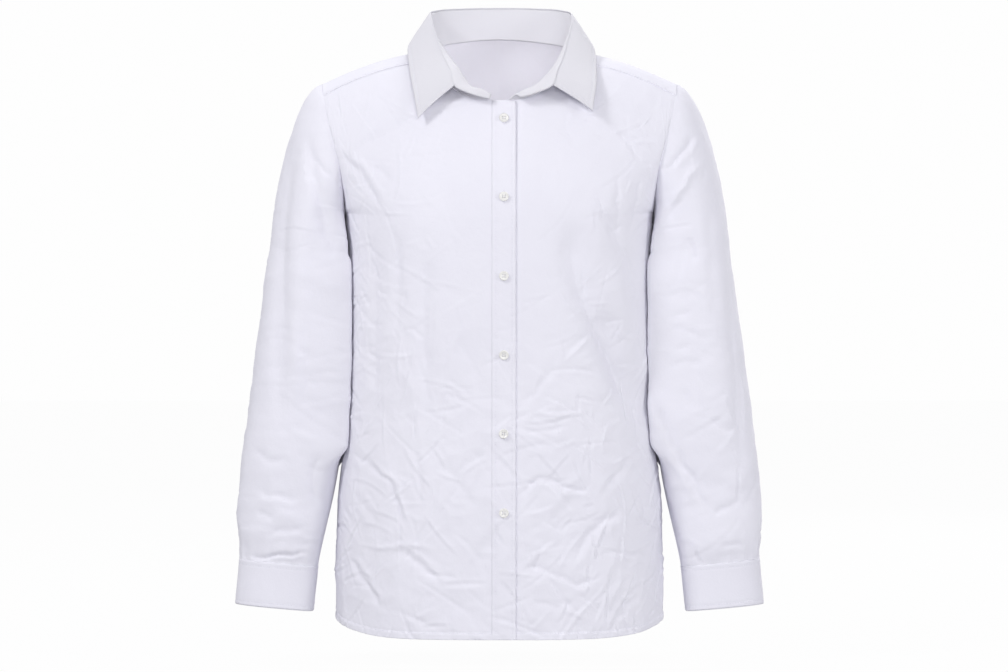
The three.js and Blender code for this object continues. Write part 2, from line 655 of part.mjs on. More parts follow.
for (let i = 0; i < BUTTON.count; i += 1) {
  const height = bandShareAt(BUTTON.first - i * BUTTON.pitch);
  const { place, normal } = facing(bandFace, 0.5, height);
  addButton(`front_button_${i + 1}`, place, normal, CLOTH + 2 * LAP_GAP);
}

export default shirt;
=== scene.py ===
"""A crumpled cotton poplin shirt, buttoned, open at the neck and filled out with no wearer."""
import logging
import math
from dataclasses import dataclass, field
from enum import Enum
from typing import Callable, Iterable, Sequence

import bmesh
import bpy
import numpy as np
from mathutils import Matrix, Vector


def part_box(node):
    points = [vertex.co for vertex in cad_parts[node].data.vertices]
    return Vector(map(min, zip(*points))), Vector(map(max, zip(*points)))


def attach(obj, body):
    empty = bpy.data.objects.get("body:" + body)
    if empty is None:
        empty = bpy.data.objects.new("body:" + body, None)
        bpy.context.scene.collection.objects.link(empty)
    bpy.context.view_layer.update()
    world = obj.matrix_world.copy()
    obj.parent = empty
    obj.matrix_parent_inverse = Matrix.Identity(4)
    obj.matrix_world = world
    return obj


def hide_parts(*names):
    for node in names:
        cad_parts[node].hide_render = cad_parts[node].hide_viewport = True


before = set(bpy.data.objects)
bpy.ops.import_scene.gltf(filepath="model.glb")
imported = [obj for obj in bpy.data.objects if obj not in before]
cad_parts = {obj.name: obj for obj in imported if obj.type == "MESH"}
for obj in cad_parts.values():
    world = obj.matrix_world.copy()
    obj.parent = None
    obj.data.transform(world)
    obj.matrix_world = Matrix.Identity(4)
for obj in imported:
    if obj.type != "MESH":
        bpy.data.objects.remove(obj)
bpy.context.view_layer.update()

log = logging.getLogger("shirt")
Array = np.ndarray
Pair = tuple[float, float]
Face = Callable[[Array, Array], Array]

# ---- Sizes of the cut, in millimetres. The wearer faces -Y, the wearer's left is +X ----
MM = 0.001
CLOTH = 0.9  # poplin with its turned edges
STIFF_CLOTH = 1.4  # the collar and cuffs, with their interlining
LAP = 0.8  # from one panel's face to the face of a piece that lies on it
HEM_FRONT, HEM_BACK, HEM_SIDE = -690.0, -692.0, -672.0
ARMPIT_Z, ARMPIT_CENTRE, NECK_Z, YOKE_BACK_Z = -188.0, -200.0, -57.0, -62.0
ARMPIT_V, NECK_V = 17 / 24, 21 / 24  # shares of a panel's rows below the armpit and the neck
ROUNDNESS = 0.76  # of a section of the body, where 1 is an ellipse and less is squarer
WAVE_LOW, WAVE_HIGH = 6.0, 1.8  # how late a row leaves its level towards the side
STRAIGHT = 0.75  # how far a row above the armpit runs straight instead of round the body
FRONT_YOKE_TURN, BACK_YOKE_TURN = 0.455, 0.61  # where the yoke's seams meet the armhole
YOKE_NECK_AT = 0.56  # how far round the neckline the yoke reaches
BAND_MIDDLE, BAND_WIDTH = 5.3, 29.0
BAND_EDGE = BAND_MIDDLE + BAND_WIDTH / 2
UNDER_EDGE = BAND_MIDDLE - BAND_WIDTH / 2
UNDER_DROP, UNDER_EASE = 1.05, 6.0  # how the left front sinks under the band
CUFF_TOP, CUFF_BOTTOM, CUFF_START, CUFF_LAP = -604.5, -658.0, 0.68, 0.07
CUFF_LIFT = 0.5  # from the sleeve's cloth to the cuff's
SLIT_LENGTH, SLIT_FROM, SLIT_TO = 118.0, 0.655, 0.73
SLIT_LIFT = 2.4  # from the sleeve's face to the strip's, over the opening's turned edges
SLEEVE_TILT, CAP_SHARE = 0.09, 0.4
SQUARE = 2.25  # the power of a sleeve's section, where 2 is an ellipse and more is squarer
PRESSED_SQUARE, PRESSED_TURN, PRESSED_WIDE = 1.9, 0.12, 0.09  # more of it beside the body
STAND_START, STAND_LAST, FALL_LAST, FALL_BULGE = 0.01, 0.97, 0.8, 1.5
ROLL_TURN, ROLL_HEIGHT, ROLL_GAP = 0.85 * math.pi, 2.4, 0.9  # the fall's roll over the stand
LEAF_V = 0.93  # the share of the fall's rows that lie below its roll
LEAF_LENGTH = 430.0  # along the fall's free edge
HEM_WIDTH, HEM_STEP = 7.5, 0.75  # the hem, and how far its turned edge stands out
HEM_DIP, HEM_PUCKER = 0.45, 0.5  # how far its stitches pull the cloth in and about
BUTTON_COUNT = 6


class Table:
    """Rows of sizes, read on a smooth curve through them."""

    def __init__(self, columns: str, rows: Sequence[tuple[float, ...]]) -> None:
        """Keeps the rows in rising order of their first column.

        Args:
            columns: The columns' names, with spaces between them.
            rows: One tuple of sizes a row.
        """
        self.names = columns.split()
        self.rows = np.array(sorted(rows), float)

    def read(self, name: str, at: Array) -> Array:
        """Reads one column.

        Args:
            name: The column.
            at: Places along the first column.

        Returns:
            The column's value at each place.
        """
        key = self.rows[:, 0]
        value = self.rows[:, self.names.index(name)]
        last = len(key) - 1
        i = np.clip(np.searchsorted(key, at), 1, last)
        before, after = np.maximum(i - 2, 0), np.minimum(i + 1, last)
        span = key[i] - key[i - 1]
        t = np.clip((at - key[i - 1]) / span, 0, 1)
        leave = (value[i] - value[before]) / (key[i] - key[before]) * span
        arrive = (value[after] - value[i - 1]) / (key[after] - key[i - 1]) * span
        return cubic(value[i - 1], leave, value[i], arrive, t)

    def place(self, at: Array, names: str = "x y z") -> Array:
        """Reads three columns as a place."""
        return np.stack([self.read(name, np.asarray(at, float)) for name in names.split()], -1)


BODY = Table(
    "z half front back",
    [
        (-720, 196, 136, 130),
        (-668, 196, 135, 128),
        (-600, 195.5, 133, 125),
        (-525, 193.5, 131, 121),
        (-460, 186, 129, 117),
        (-420, 183.2, 128, 114),
        (-370, 182, 128, 112),
        (-290, 181.3, 129, 112),
        (-240, 181.5, 129, 114),
        (-188, 184, 126, 117),
        (-130, 187, 115, 115),
        (-57, 205, 88, 95),
        (20, 214, 60, 60),
    ],
)
ARMHOLE = Table(
    "turn x y z",
    [
        (0.0, 184, 0, -188),
        (0.07, 184, -24, -183),
        (0.16, 185, -48, -163),
        (0.25, 190, -61, -132),
        (0.33, 198, -58, -101),
        (0.41, 206, -44, -68),
        (0.455, 210, -27, -46),
        (0.5, 213, 3, -33),
        (0.55, 211, 36, -48),
        (0.61, 206, 58, -76),
        (0.7, 199, 73, -110),
        (0.78, 192, 74, -138),
        (0.86, 187, 55, -166),
        (0.93, 184, 26, -184),
        (1.0, 184, 0, -188),
    ],
)
NECKLINE = Table(
    "at x y z",
    [
        (0.0, 0, 48.5, 23.5),
        (0.12, 27, 47, 22),
        (0.24, 54, 40, 18.5),
        (0.34, 73, 26, 14.5),
        (0.44, 82, 2, 9),
        (0.56, 80, -28, -6),
        (0.7, 67, -57, -31),
        (0.82, 46, -76, -48),
        (0.92, 24, -85, -55),
        (1.0, 3, -88, -57),
    ],
)
YOKE_CROWN = Table(
    "at x y z",
    [
        (0.0, 0, 79, -12),
        (0.2, 44, 71, -12),
        (0.36, 76, 52, -6),
        (0.46, 90, 41, -3),
        (0.56, 98, 28, -1),
        (0.7, 145, 24, -12),
        (0.85, 181, 20, -24),
        (1.0, 212.5, 15, -36.5),
    ],
)
STAND = Table(
    "at cx cy cz x y z",
    [
        (-1.0, -6, -91, -54, -4, -94, -57.5),
        (-0.9, -20, -88, -45.5, -29, -98, -52),
        (-0.8, -35, -82, -40, -53, -93, -41),
        (-0.7, -49, -66, -20, -58, -76, -23),
        (-0.58, -64, -43, 0, -69, -48, 2),
        (-0.46, -82, -6, 28, -82, -8, 45),
        (-0.3, -72, 30, 35, -76, 30, 56),
        (-0.15, -38, 47, 41, -41, 50, 60),
        (0.0, 0, 52, 43, 0, 56, 61),
        (0.15, 38, 47, 41, 41, 50, 60),
        (0.3, 72, 30, 35, 76, 30, 56),
        (0.46, 84, -6, 28, 87, -8, 44),
        (0.58, 73, -43, -1, 78, -48, 2),
        (0.7, 61, -64, -21, 69, -76, -23),
        (0.8, 45, -80, -38, 63, -93, -40),
        (0.9, 28, -87, -46.5, 40, -98, -50.5),
        (1.0, 15, -91, -54, 18, -95, -56),
    ],
)
FALL = Table(
    "at x y z",
    [
        (-0.8, -96, -98, -78),
        (-0.7, -101, -80, -50),
        (-0.58, -107, -48, -19),
        (-0.46, -110, -10, 12),
        (-0.3, -98, 45, 6),
        (-0.15, -53, 70, 12),
        (0.0, 0, 77, 15),
        (0.15, 53, 70, 12),
        (0.3, 98, 45, 6),
        (0.46, 113, -10, 11.5),
        (0.58, 116, -48, -20),
        (0.7, 114, -78, -43),
        (0.8, 110, -98, -69),
    ],
)
SLEEVE = Table(
    "z inner outer deep y",
    [
        (-232, 186, 275.5, 66, 3),
        (-262, 183.6, 280, 66, 1),
        (-300, 183.4, 284.5, 63, -1),
        (-370, 184.2, 294, 58, -5),
        (-420, 185.4, 300, 54, -8),
        (-460, 189.3, 304.6, 51, -11),
        (-495, 193.8, 309, 48, -13),
        (-525, 199.5, 311.5, 45, -14),
        (-556, 206.5, 313, 41, -18),
        (-585, 213, 311.5, 36, -22),
        (-604.5, 216.5, 310.5, 30, -24),
        (-658, 222, 315, 29.5, -28),
    ],
)
SLEEVE_HEAD_Z = -232.0


# ---- Curves and noise ----


def lerp(a: Array | float, b: Array | float, t: Array | float) -> Array:
    """Goes from a to b as t goes from 0 to 1."""
    return a + (b - a) * t


def smooth(x: Array | float, low: float, high: float) -> Array:
    """Rises smoothly from 0 at low to 1 at high."""
    t = np.clip((np.asarray(x, float) - low) / (high - low), 0, 1)
    return t * t * (3 - 2 * t)


def hill(x: Array, middle: float, wide: float) -> Array:
    """Rises smoothly to 1 at the middle, and has mostly gone as far as wide from it."""
    return np.exp(-(((x - middle) / wide) ** 2))


def cubic(start: Array, leave: Array, end: Array, arrive: Array, t: Array) -> Array:
    """Follows a smooth line from its start to its end.

    Args:
        start: Where it starts.
        leave: Which way, and how fast.
        end: Where it ends.
        arrive: Which way it gets there, and how fast.
        t: Shares of the way.

    Returns:
        The place or size at each share.
    """
    t2, t3 = t * t, t * t * t
    return (
        (2 * t3 - 3 * t2 + 1) * start
        + (t3 - 2 * t2 + t) * leave
        + (3 * t2 - 2 * t3) * end
        + (t3 - t2) * arrive
    )


def spot(x: Array | float, y: Array | float, z: Array | float) -> Array:
    """Joins three coordinates into places."""
    return np.stack(np.broadcast_arrays(np.asarray(x, float), y, z), -1)


def unit(vectors: Array) -> Array:
    """Scales vectors to length 1."""
    return vectors / np.maximum(np.linalg.norm(vectors, axis=-1, keepdims=True), 1e-9)


def through_three(a: Array, b: Array, c: Array, t: Array) -> Array:
    """Follows a smooth line that starts at a, passes b halfway and ends at c."""
    t = np.asarray(t, float)[..., None]
    return a * (1 - t) * (1 - 2 * t) + b * 4 * t * (1 - t) + c * t * (2 * t - 1)


def mixed_up(cell: Array, dx: int, dy: int, seed: int) -> Array:
    """Makes a number that looks random out of a lattice corner's address.

    Args:
        cell: The corner from which the step starts.
        dx: The step across.
        dy: The step up.
        seed: Picks the pattern.

    Returns:
        A whole number for each corner, always the same.
    """
    mixed = (cell[..., 0] + dx) * 374761393 + (cell[..., 1] + dy) * 668265263 + seed * 97531
    mixed = (mixed ^ (mixed >> 13)) * 1274126177
    return mixed ^ (mixed >> 16)


def noise(places: Array, seed: int) -> Array:
    """Gives smooth random heights, from about -0.7 to 0.7, one bump to a unit.

    Args:
        places: Places on a plane, with x and y last.
        seed: Picks the pattern.

    Returns:
        The height at each place.
    """
    cell = np.floor(places).astype(np.int64)
    part = places - cell
    fade = part * part * part * (part * (part * 6 - 15) + 10)

    def corner(dx: int, dy: int) -> Array:
        """Gives the slope's share of one lattice corner."""
        angle = (mixed_up(cell, dx, dy, seed) & 0xFFFF) / 65536 * 2 * math.pi
        return np.cos(angle) * (part[..., 0] - dx) + np.sin(angle) * (part[..., 1] - dy)

    low = lerp(corner(0, 0), corner(1, 0), fade[..., 0])
    high = lerp(corner(0, 1), corner(1, 1), fade[..., 0])
    return lerp(low, high, fade[..., 1])


def facets(places: Array, seed: int) -> tuple[Array, Array]:
    """Breaks a plane into random cells, as crushed cloth breaks into flat facets.

    Args:
        places: Places on a plane, with x and y last.
        seed: Picks the pattern.

    Returns:
        How far each place is from its cell's middle, and from the edge between two cells.
    """
    cell = np.floor(places).astype(np.int64)
    first, second = np.full(places.shape[:-1], 9.0), np.full(places.shape[:-1], 9.0)
    for dx in (-1, 0, 1):
        for dy in (-1, 0, 1):
            mixed = mixed_up(cell, dx, dy, seed)
            x = cell[..., 0] + dx + (mixed & 0x3FF) / 1024
            y = cell[..., 1] + dy + ((mixed >> 10) & 0x3FF) / 1024
            away = np.hypot(places[..., 0] - x, places[..., 1] - y)
            second = np.minimum(second, np.maximum(first, away))
            first = np.minimum(first, away)
    return first, second - first


PINCH_WIDE, PINCH_HIGH = 3.2, 2.4  # the ridges where two facets of crushed cloth meet, in mm


def crumple(cloth: Array, size: float, seed: int) -> Array:
    """Gives the facets and pinched ridges of cloth that was scrunched and shaken out.

    Args:
        cloth: Places on the flat cloth, in mm.
        size: How far apart the ridges run, in mm.
        seed: Picks the pattern.

    Returns:
        Heights, in shares of the cells' own slope.
    """
    base = cloth / size
    drift = np.stack([noise(base * 0.7, seed + 11), noise(base * 0.7, seed + 12)], -1)
    wobble = np.stack([noise(base * 2.9, seed + 13), noise(base * 2.9, seed + 14)], -1)
    middle, edge = facets(base + drift * 0.9 + wobble * 0.16, seed)
    fades = smooth(noise(base * 0.8, seed + 15), -0.35, 0.3)
    pinch = hill(edge * size, 0, PINCH_WIDE) * fades
    dome = np.sqrt(middle**2 + 0.02) - 0.45
    return dome * lerp(0.5, 1.0, fades) + pinch * PINCH_HIGH / size


@dataclass(frozen=True)
class Crush:
    """One size of the crumple in a piece of cloth.

    Attributes:
        size: How far apart its ridges run, in mm.
        height: How high its facets stand, in mm.
        seed: Picks the pattern.
        upright: The share of its spacing across by which it is closer upwards.
    """

    size: float
    height: float
    seed: int
    upright: float = 1.0

    def relief(self, cloth: Array, shift: int = 0) -> Array:
        """Gives how far the cloth stands out, in another pattern for another shift."""
        return crumple(cloth * [1.0, self.upright], self.size, self.seed + shift) * self.height


@dataclass(frozen=True)
class Strewn:
    """Short straight creases, pressed in at random as a crushed cloth keeps them, in mm.

    Attributes:
        count: How many there are.
        height: The height of the largest.
        box: Where they are: left, right, low and high.
        seed: Picks the creases.
        half: The range of half their length.
        wide: The range of their width.
        bend: How much one may bend.
        weakest: The share of the height that the weakest one has.
        troughs: The share of them that are pressed in, where the others stand up.
        lip: The share of a crease's height by which the cloth beside it goes the other way.
        lip_at: How far aside that is, in widths.
    """

    count: int
    height: float
    box: tuple[float, float, float, float]
    seed: int
    half: Pair = (9, 44)
    wide: Pair = (1.3, 2.5)
    bend: float = 0.006
    weakest: float = 0.4
    troughs: float = 0.6
    lip: float = 0.45
    lip_at: float = 1.7

    def relief(self, cloth: Array, shift: int = 0) -> Array:
        """Presses the creases in.

        Args:
            cloth: Places on the flat cloth, in mm.
            shift: Gives another pattern.

        Returns:
            How far the cloth stands out.
        """
        draw = np.random.default_rng(self.seed + shift)
        height = np.zeros(cloth.shape[:-1])
        for _ in range(self.count):
            x, y = draw.uniform(*self.box[:2]), draw.uniform(*self.box[2:])
            angle = draw.uniform(0, math.pi)
            half, wide = draw.uniform(*self.half), draw.uniform(*self.wide)
            bend = draw.uniform(-self.bend, self.bend)
            deep = draw.uniform(self.weakest, 1.0) * (-1 if draw.random() < self.troughs else 1)
            off_x, off_y = cloth[..., 0] - x, cloth[..., 1] - y
            along = off_x * math.cos(angle) + off_y * math.sin(angle)
            aside = off_y * math.cos(angle) - off_x * math.sin(angle) + bend * along**2
            q = aside / wide
            ends = 1 - smooth(np.abs(along), half * 0.45, half)
            height += deep * ends * (hill(q, 0, 1) - self.lip * hill(q, self.lip_at, 1))
        return height * self.height


def line_through(path: Sequence[Pair], steps: int = 6) -> Array:
    """Rounds off a path of a few places.

    Args:
        path: The places that it passes.
        steps: New places between two given ones.

    Returns:
        The places along the rounded path.
    """
    if len(path) < 3:
        return np.array(path, float)
    rows = [(float(i), *place) for i, place in enumerate(path)]
    at = np.linspace(0, len(path) - 1, (len(path) - 1) * steps + 1)
    return Table("at x z", rows).place(at, "x z")


@dataclass(frozen=True)
class Crease:
    """A trough pressed into the cloth, or a ridge where deep is below zero, in mm.

    Attributes:
        path: Places that it passes, across and up as seen from the front.
        wide: From its middle to where it has mostly gone.
        deep: Its depth.
        sharp: 0 for a soft hollow, 1 for a pressed line.
        lip: The share of the depth that stands up as a ridge beside it, to the right of the way
            that the path runs, or to the left where it is below zero.
    """

    path: tuple[Pair, ...]
    wide: float
    deep: float
    sharp: float = 0.3
    lip: float = 0.0

    def depth(self, x: Array, z: Array) -> Array:
        """Measures the crease at places on the panel.

        Args:
            x: How far across each place is.
            z: How high.

        Returns:
            How far the cloth is pressed in there.
        """
        line = line_through(self.path)
        lengths = np.linalg.norm(np.diff(line, axis=0), axis=1)
        before = np.concatenate([[0.0], np.cumsum(lengths)])
        best = np.full(x.shape, 1e9)
        aside, along = np.zeros(x.shape), np.zeros(x.shape)
        for start, end, length, run in zip(line[:-1], line[1:], lengths, before):
            way = (end - start) / length
            off_x, off_z = x - start[0], z - start[1]
            t = np.clip(off_x * way[0] + off_z * way[1], 0, length)
            away = np.hypot(off_x - way[0] * t, off_z - way[1] * t)
            nearer = away < best
            best = np.where(nearer, away, best)
            aside = np.where(nearer, off_x * way[1] - off_z * way[0], aside)
            along = np.where(nearer, run + t, along)
        share = along / before[-1]
        taper = smooth(share, 0, 0.22) * (1 - smooth(share, 0.72, 1))
        q = best / (self.wide * lerp(1.0, 0.45, self.sharp))
        soft = np.exp(-q * q)
        pressed = np.exp(0.2 - np.sqrt(q * q * 4 + 0.04))
        beside = np.sign(self.lip) * aside / self.wide
        raised = abs(self.lip) * hill(beside, 1.1, 0.6) * (best < self.wide * 4)
        return self.deep * taper * (lerp(soft, pressed, self.sharp) - raised)


WAVER_SIZE, WAVER_HIGH, WAVER_SEED = 17, 4.5, 501  # how a pressed line wavers, in mm


def pressed(creases: Iterable[Crease], x: Array, z: Array) -> Array:
    """Adds up the depths of several creases, whose lines waver, a sharp one's the most.

    Args:
        creases: The creases.
        x: How far across each place is.
        z: How high.

    Returns:
        How far the cloth is pressed in there.
    """
    at = np.stack([x, z], -1) / WAVER_SIZE
    off_x, off_z = (noise(at, WAVER_SEED + i) * WAVER_HIGH for i in (0, 1))
    total = np.zeros(x.shape)
    for crease in creases:
        waver = smooth(crease.sharp, 0.0, 0.4)
        total += crease.depth(x + off_x * waver, z + off_z * waver)
    return total


RIGHT_FRONT_CREASES = (
    Crease(((-188, -116), (-160, -150), (-134, -191)), 7, 3.4, 0.5, -0.5),
    Crease(((-150, -205), (-148, -300), (-149, -445)), 10, 4.2),
    Crease(((-121, -205), (-118, -270), (-122, -343)), 8, 3.4),
    Crease(((-86, -232), (-88, -330), (-84, -448)), 11, 3.8),
    Crease(((-147, -280), (-129, -288)), 4, 1.4, 0.7, 0.4),
    Crease(((-107, -324), (-87, -339)), 4, 1.3, 0.7, 0.4),
    Crease(((-162, -350), (-144, -364)), 4, 1.6, 0.7, 0.4),
    Crease(((-158, -372), (-140, -369)), 3.5, 1.2, 0.8),
    Crease(((-160, -486), (-127, -508), (-121, -528), (-110, -562)), 5, 3.6, 0.8, -0.5),
    Crease(((-176, -470), (-150, -490), (-132, -494)), 6, 2.0, 0.5),
    Crease(((-156, -587), (-115, -581), (-74, -582)), 6, -2.4, 0.5),
    Crease(((-180, -596), (-160, -622), (-137, -658)), 7, 3.4, 0.6, -0.5),
    Crease(((-116, -586), (-90, -604), (-64, -629)), 6, 2.8, 0.6, -0.4),
    Crease(((-114, -658), (-96, -667), (-76, -669)), 5, 1.9, 0.6),
    Crease(((0, -556), (-14, -580), (-32, -600)), 10, 2.2, 0.2),
    Crease(((-68, -480), (-46, -512), (-25, -540)), 8, 2.0, 0.3),
    Crease(((-55, -336), (-30, -370), (-22, -410)), 9, 1.5, 0.2),
    Crease(((-104, -462), (-92, -500), (-96, -540)), 7, 1.8, 0.5),
    Crease(((-66, -640), (-40, -655), (-24, -676)), 7, 1.5, 0.3),
    Crease(((-150, -130), (-128, -152)), 7, 1.6, 0.3),
    Crease(((-60, -150), (-54, -210), (-58, -270)), 13, 1.2, 0.0),
    Crease(((-172, -520), (-150, -548), (-146, -580)), 7, 2.2, 0.5, 0.3),
)
LEFT_FRONT_CREASES = (
    Crease(((87, -269), (114, -328), (139, -375), (161, -430)), 6, 3.2, 0.4),
    Crease(((116, -296), (148, -378), (177, -452)), 16, 6.5, 0.1),
    Crease(((128, -246), (157, -330), (177, -404)), 14, -4.0, 0.1),
    Crease(
        ((80, -190), (90, -262), (110, -313), (130, -358), (154, -409), (178, -452)), 17, 9.5, 0.1
    ),
    Crease(((123, -186), (149, -242), (166, -286)), 11, 4.2, 0.2),
    Crease(((118, -186), (136, -224)), 5, 1.6, 0.5),
    Crease(((139, -146), (140, -224)), 6, 1.9, 0.4),
    Crease(((166, -146), (155, -218)), 6, 2.2, 0.5),
    Crease(((140, -90), (154, -106), (170, -130)), 6, 2.4, 0.5, 0.2),
    Crease(((112, -168), (143, -224)), 6, 1.9, 0.5),
    Crease(((73, -84), (93, -113)), 7, 1.5, 0.3),
    Crease(((126, -321), (148, -314)), 4, 1.3, 0.7),
    Crease(((73, -353), (106, -334)), 6, 1.4, 0.4),
    Crease(((20, -424), (44, -396), (71, -366)), 6, 1.5, 0.4, 0.15),
    Crease(((24, -446), (55, -446), (86, -437)), 6, 1.9, 0.5),
    Crease(((22, -526), (40, -506), (55, -502), (90, -516), (112, -507)), 6, 3.4, 0.7, 0.28),
    Crease(((123, -516), (140, -496), (156, -477)), 6, 2.2, 0.5),
    Crease(((88, -601), (108, -564), (147, -537)), 8, 2.9, 0.5, 0.2),
    Crease(((116, -589), (148, -590), (178, -597)), 5, 2.4, 0.6),
    Crease(((22, -613), (49, -606), (90, -625), (127, -613)), 6, 2.6, 0.6, 0.2),
    Crease(((138, -667), (150, -652), (162, -638)), 6, 2.4, 0.5),
    Crease(((60, -540), (72, -566), (70, -592)), 8, 1.8, 0.3),
    Crease(((34, -640), (62, -650), (96, -644)), 6, 1.5, 0.4),
    Crease(((52, -120), (58, -180), (56, -240)), 14, 1.1, 0.0),
    Crease(((158, -506), (172, -540), (170, -570)), 7, 2.0, 0.4),
)
BACK_CREASES = (
    Crease(((-122, -140), (-134, -260), (-150, -430)), 14, 3.2, 0.1),
    Crease(((-54, -104), (-60, -280), (-72, -470)), 14, 2.6, 0.1),
    Crease(((38, -110), (44, -300), (60, -510)), 15, 2.8, 0.1),
    Crease(((118, -150), (128, -270), (144, -440)), 14, 3.2, 0.1),
    Crease(((-160, -150), (-140, -190), (-126, -240)), 7, 2.4, 0.5, 0.4),
    Crease(((160, -150), (142, -196), (120, -236)), 7, 2.4, 0.5, -0.4),
    Crease(((-150, -560), (-104, -584), (-58, -622)), 7, 3.0, 0.6, 0.5),
    Crease(((64, -602), (100, -572), (152, -544)), 7, 3.0, 0.6, 0.5),
    Crease(((-30, -500), (4, -524), (52, -518)), 7, 2.8, 0.6, 0.4),
    Crease(((-134, -470), (-98, -486), (-70, -474)), 6, 2.2, 0.5),
    Crease(((84, -486), (112, -470), (146, -482)), 6, 2.2, 0.5),
    Crease(((-12, -330), (18, -352), (26, -384)), 7, 1.6, 0.4),
    Crease(((-100, -330), (-76, -346)), 6, 1.6, 0.4),
    Crease(((-20, -600), (20, -622), (64, -640)), 7, 2.4, 0.5),
    Crease(((-140, -640), (-110, -654), (-76, -650)), 6, 2.0, 0.5),
)
RIGHT_SLEEVE_CREASES = (
    Crease(((-240, -84), (-254, -150), (-260, -220), (-260, -330), (-263, -450)), 11, 6.0, 0.1),
    Crease(((-230, -88), (-219, -146), (-206, -206), (-192, -258)), 8, 3.2, 0.3, 0.1),
    Crease(((-216, -120), (-234, -220), (-238, -330), (-245, -440)), 14, -3.0, 0.1),
    Crease(((-224, -122), (-210, -136), (-195, -152)), 5, 1.6, 0.5, 0.2),
    Crease(((-290, -519), (-262, -526), (-234, -528)), 6, 1.8, 0.5, 0.4),
    Crease(((-276, -571), (-250, -564), (-226, -566)), 5, 1.6, 0.5, 0.3),
    Crease(
        ((-300, -596), (-280, -600), (-269, -597), (-238, -593), (-222, -597)), 3.5, 3.0, 0.5, 0.4
    ),
    Crease(((-292, -470), (-268, -484), (-250, -480)), 6, 1.9, 0.5),
    Crease(((-236, -300), (-228, -380), (-234, -440)), 8, 1.6, 0.1),
    Crease(((-212, -470), (-222, -500), (-216, -540)), 6, 2.0, 0.4),
    Crease(((-240, -350), (-222, -362)), 5, 1.2, 0.5),
    Crease(((-288, -545), (-266, -552)), 4, 1.7, 0.6),
)
LEFT_SLEEVE_CREASES = (
    Crease(((197, -140), (216, -118), (234, -92)), 6, 2.8, 0.5, 0.3),
    Crease(((198, -184), (216, -160), (240, -126)), 6, -2.8, 0.4),
    Crease(((222, -218), (228, -234), (234, -248)), 5, 2.2, 0.6),
    Crease(((196, -290), (220, -284), (244, -288)), 4.5, 1.8, 0.6),
    Crease(((200, -312), (228, -306)), 4, 1.5, 0.6),
    Crease(((196, -332), (218, -328), (240, -336)), 4.5, 1.8, 0.6),
    Crease(((206, -350), (230, -346)), 4, 1.3, 0.6),
    Crease(((198, -372), (222, -366), (246, -370)), 4.5, 1.6, 0.6),
    Crease(((272, -236), (278, -330), (284, -420), (286, -500)), 8, 2.8, 0.2),
    Crease(((182, -404), (203, -460), (234, -517), (244, -546)), 7, 3.2, 0.5, 0.4),
    Crease(((252, -548), (268, -540), (287, -530)), 5, 2.2, 0.6),
    Crease(((230, -586), (234, -600), (240, -612)), 4, 2.2, 0.6),
    Crease(((258, -590), (276, -582), (296, -586)), 4, 1.9, 0.6),
    Crease(((250, -150), (252, -240), (258, -330)), 9, 1.6, 0.1),
    Crease(((250, -430), (268, -446), (284, -450)), 6, 1.7, 0.5),
    Crease(((214, -400), (232, -420)), 5, 1.4, 0.5),
)
SLEEVE_BACK_CREASES = (
    Crease(((212, -150), (226, -210), (240, -280)), 9, 2.6, 0.3),
    Crease(((260, -180), (256, -300), (262, -420)), 10, 2.4, 0.1),
    Crease(((196, -330), (222, -322), (248, -330)), 5, 1.9, 0.5),
    Crease(((204, -420), (232, -446), (262, -452)), 6, 2.6, 0.6, 0.4),
    Crease(((226, -520), (252, -510), (284, -520)), 6, 2.8, 0.6, 0.4),
    Crease(((214, -486), (236, -498)), 5, 1.9, 0.5),
    Crease(((236, -566), (262, -572), (290, -562)), 5, 2.4, 0.6),
)


# ---- The faces of the pieces: u runs to the right as seen from outside, v runs up ----


def outer_end(v: Array, yoke_turn: float) -> Array:
    """Ends a body row at the side seam, or on the armhole above the armpit.

    Args:
        v: Shares of the way up the panel.
        yoke_turn: Where the panel's top edge meets the armhole.

    Returns:
        The rows' ends.
    """
    share = np.clip((v - ARMPIT_V) / (1 - ARMPIT_V), 0, 1)
    turn = 1 - share * (1 - yoke_turn) if yoke_turn > 0.5 else share * yoke_turn
    z = lerp(HEM_SIDE, ARMPIT_Z, np.clip(v / ARMPIT_V, 0, 1))
    side = spot(BODY.read("half", z), 0, z)
    return np.where((v > ARMPIT_V)[..., None], ARMHOLE.place(turn), side)


def angle_of(share: Array) -> Array:
    """Gives the angle round a body section at this share of the half width."""
    return np.sign(share) * np.arcsin(np.clip(np.abs(share), 0, 1) ** (1 / ROUNDNESS))


def row_point(inner: Array, outer: Array, angle: Array, v: Array) -> Array:
    """Finds a place on a row, which wraps round below the armpit and runs straighter above it.

    Args:
        inner: The row's place nearest the centre.
        outer: The row's end.
        angle: The angle round the body.
        v: The share of the way up the panel.

    Returns:
        The place.
    """
    start = np.maximum(inner[..., 0], 0)
    x = outer[..., 0] * np.sign(angle) * np.abs(np.sin(angle)) ** ROUNDNESS
    share = np.clip((np.abs(x) - start) / (outer[..., 0] - start), 0, 1)
    first = np.cos(angle_of(start / outer[..., 0]))
    wrapped = (np.maximum(np.cos(angle), 0) / first) ** ROUNDNESS
    straight = STRAIGHT * smooth(v, ARMPIT_V, 1)
    y = lerp(outer[..., 1], inner[..., 1], lerp(wrapped, 1 - share**2, straight))
    level = lerp(WAVE_LOW, WAVE_HIGH, smooth(v, 0.3, ARMPIT_V + 0.15))
    return spot(x, y, lerp(inner[..., 2], outer[..., 2], share**level))


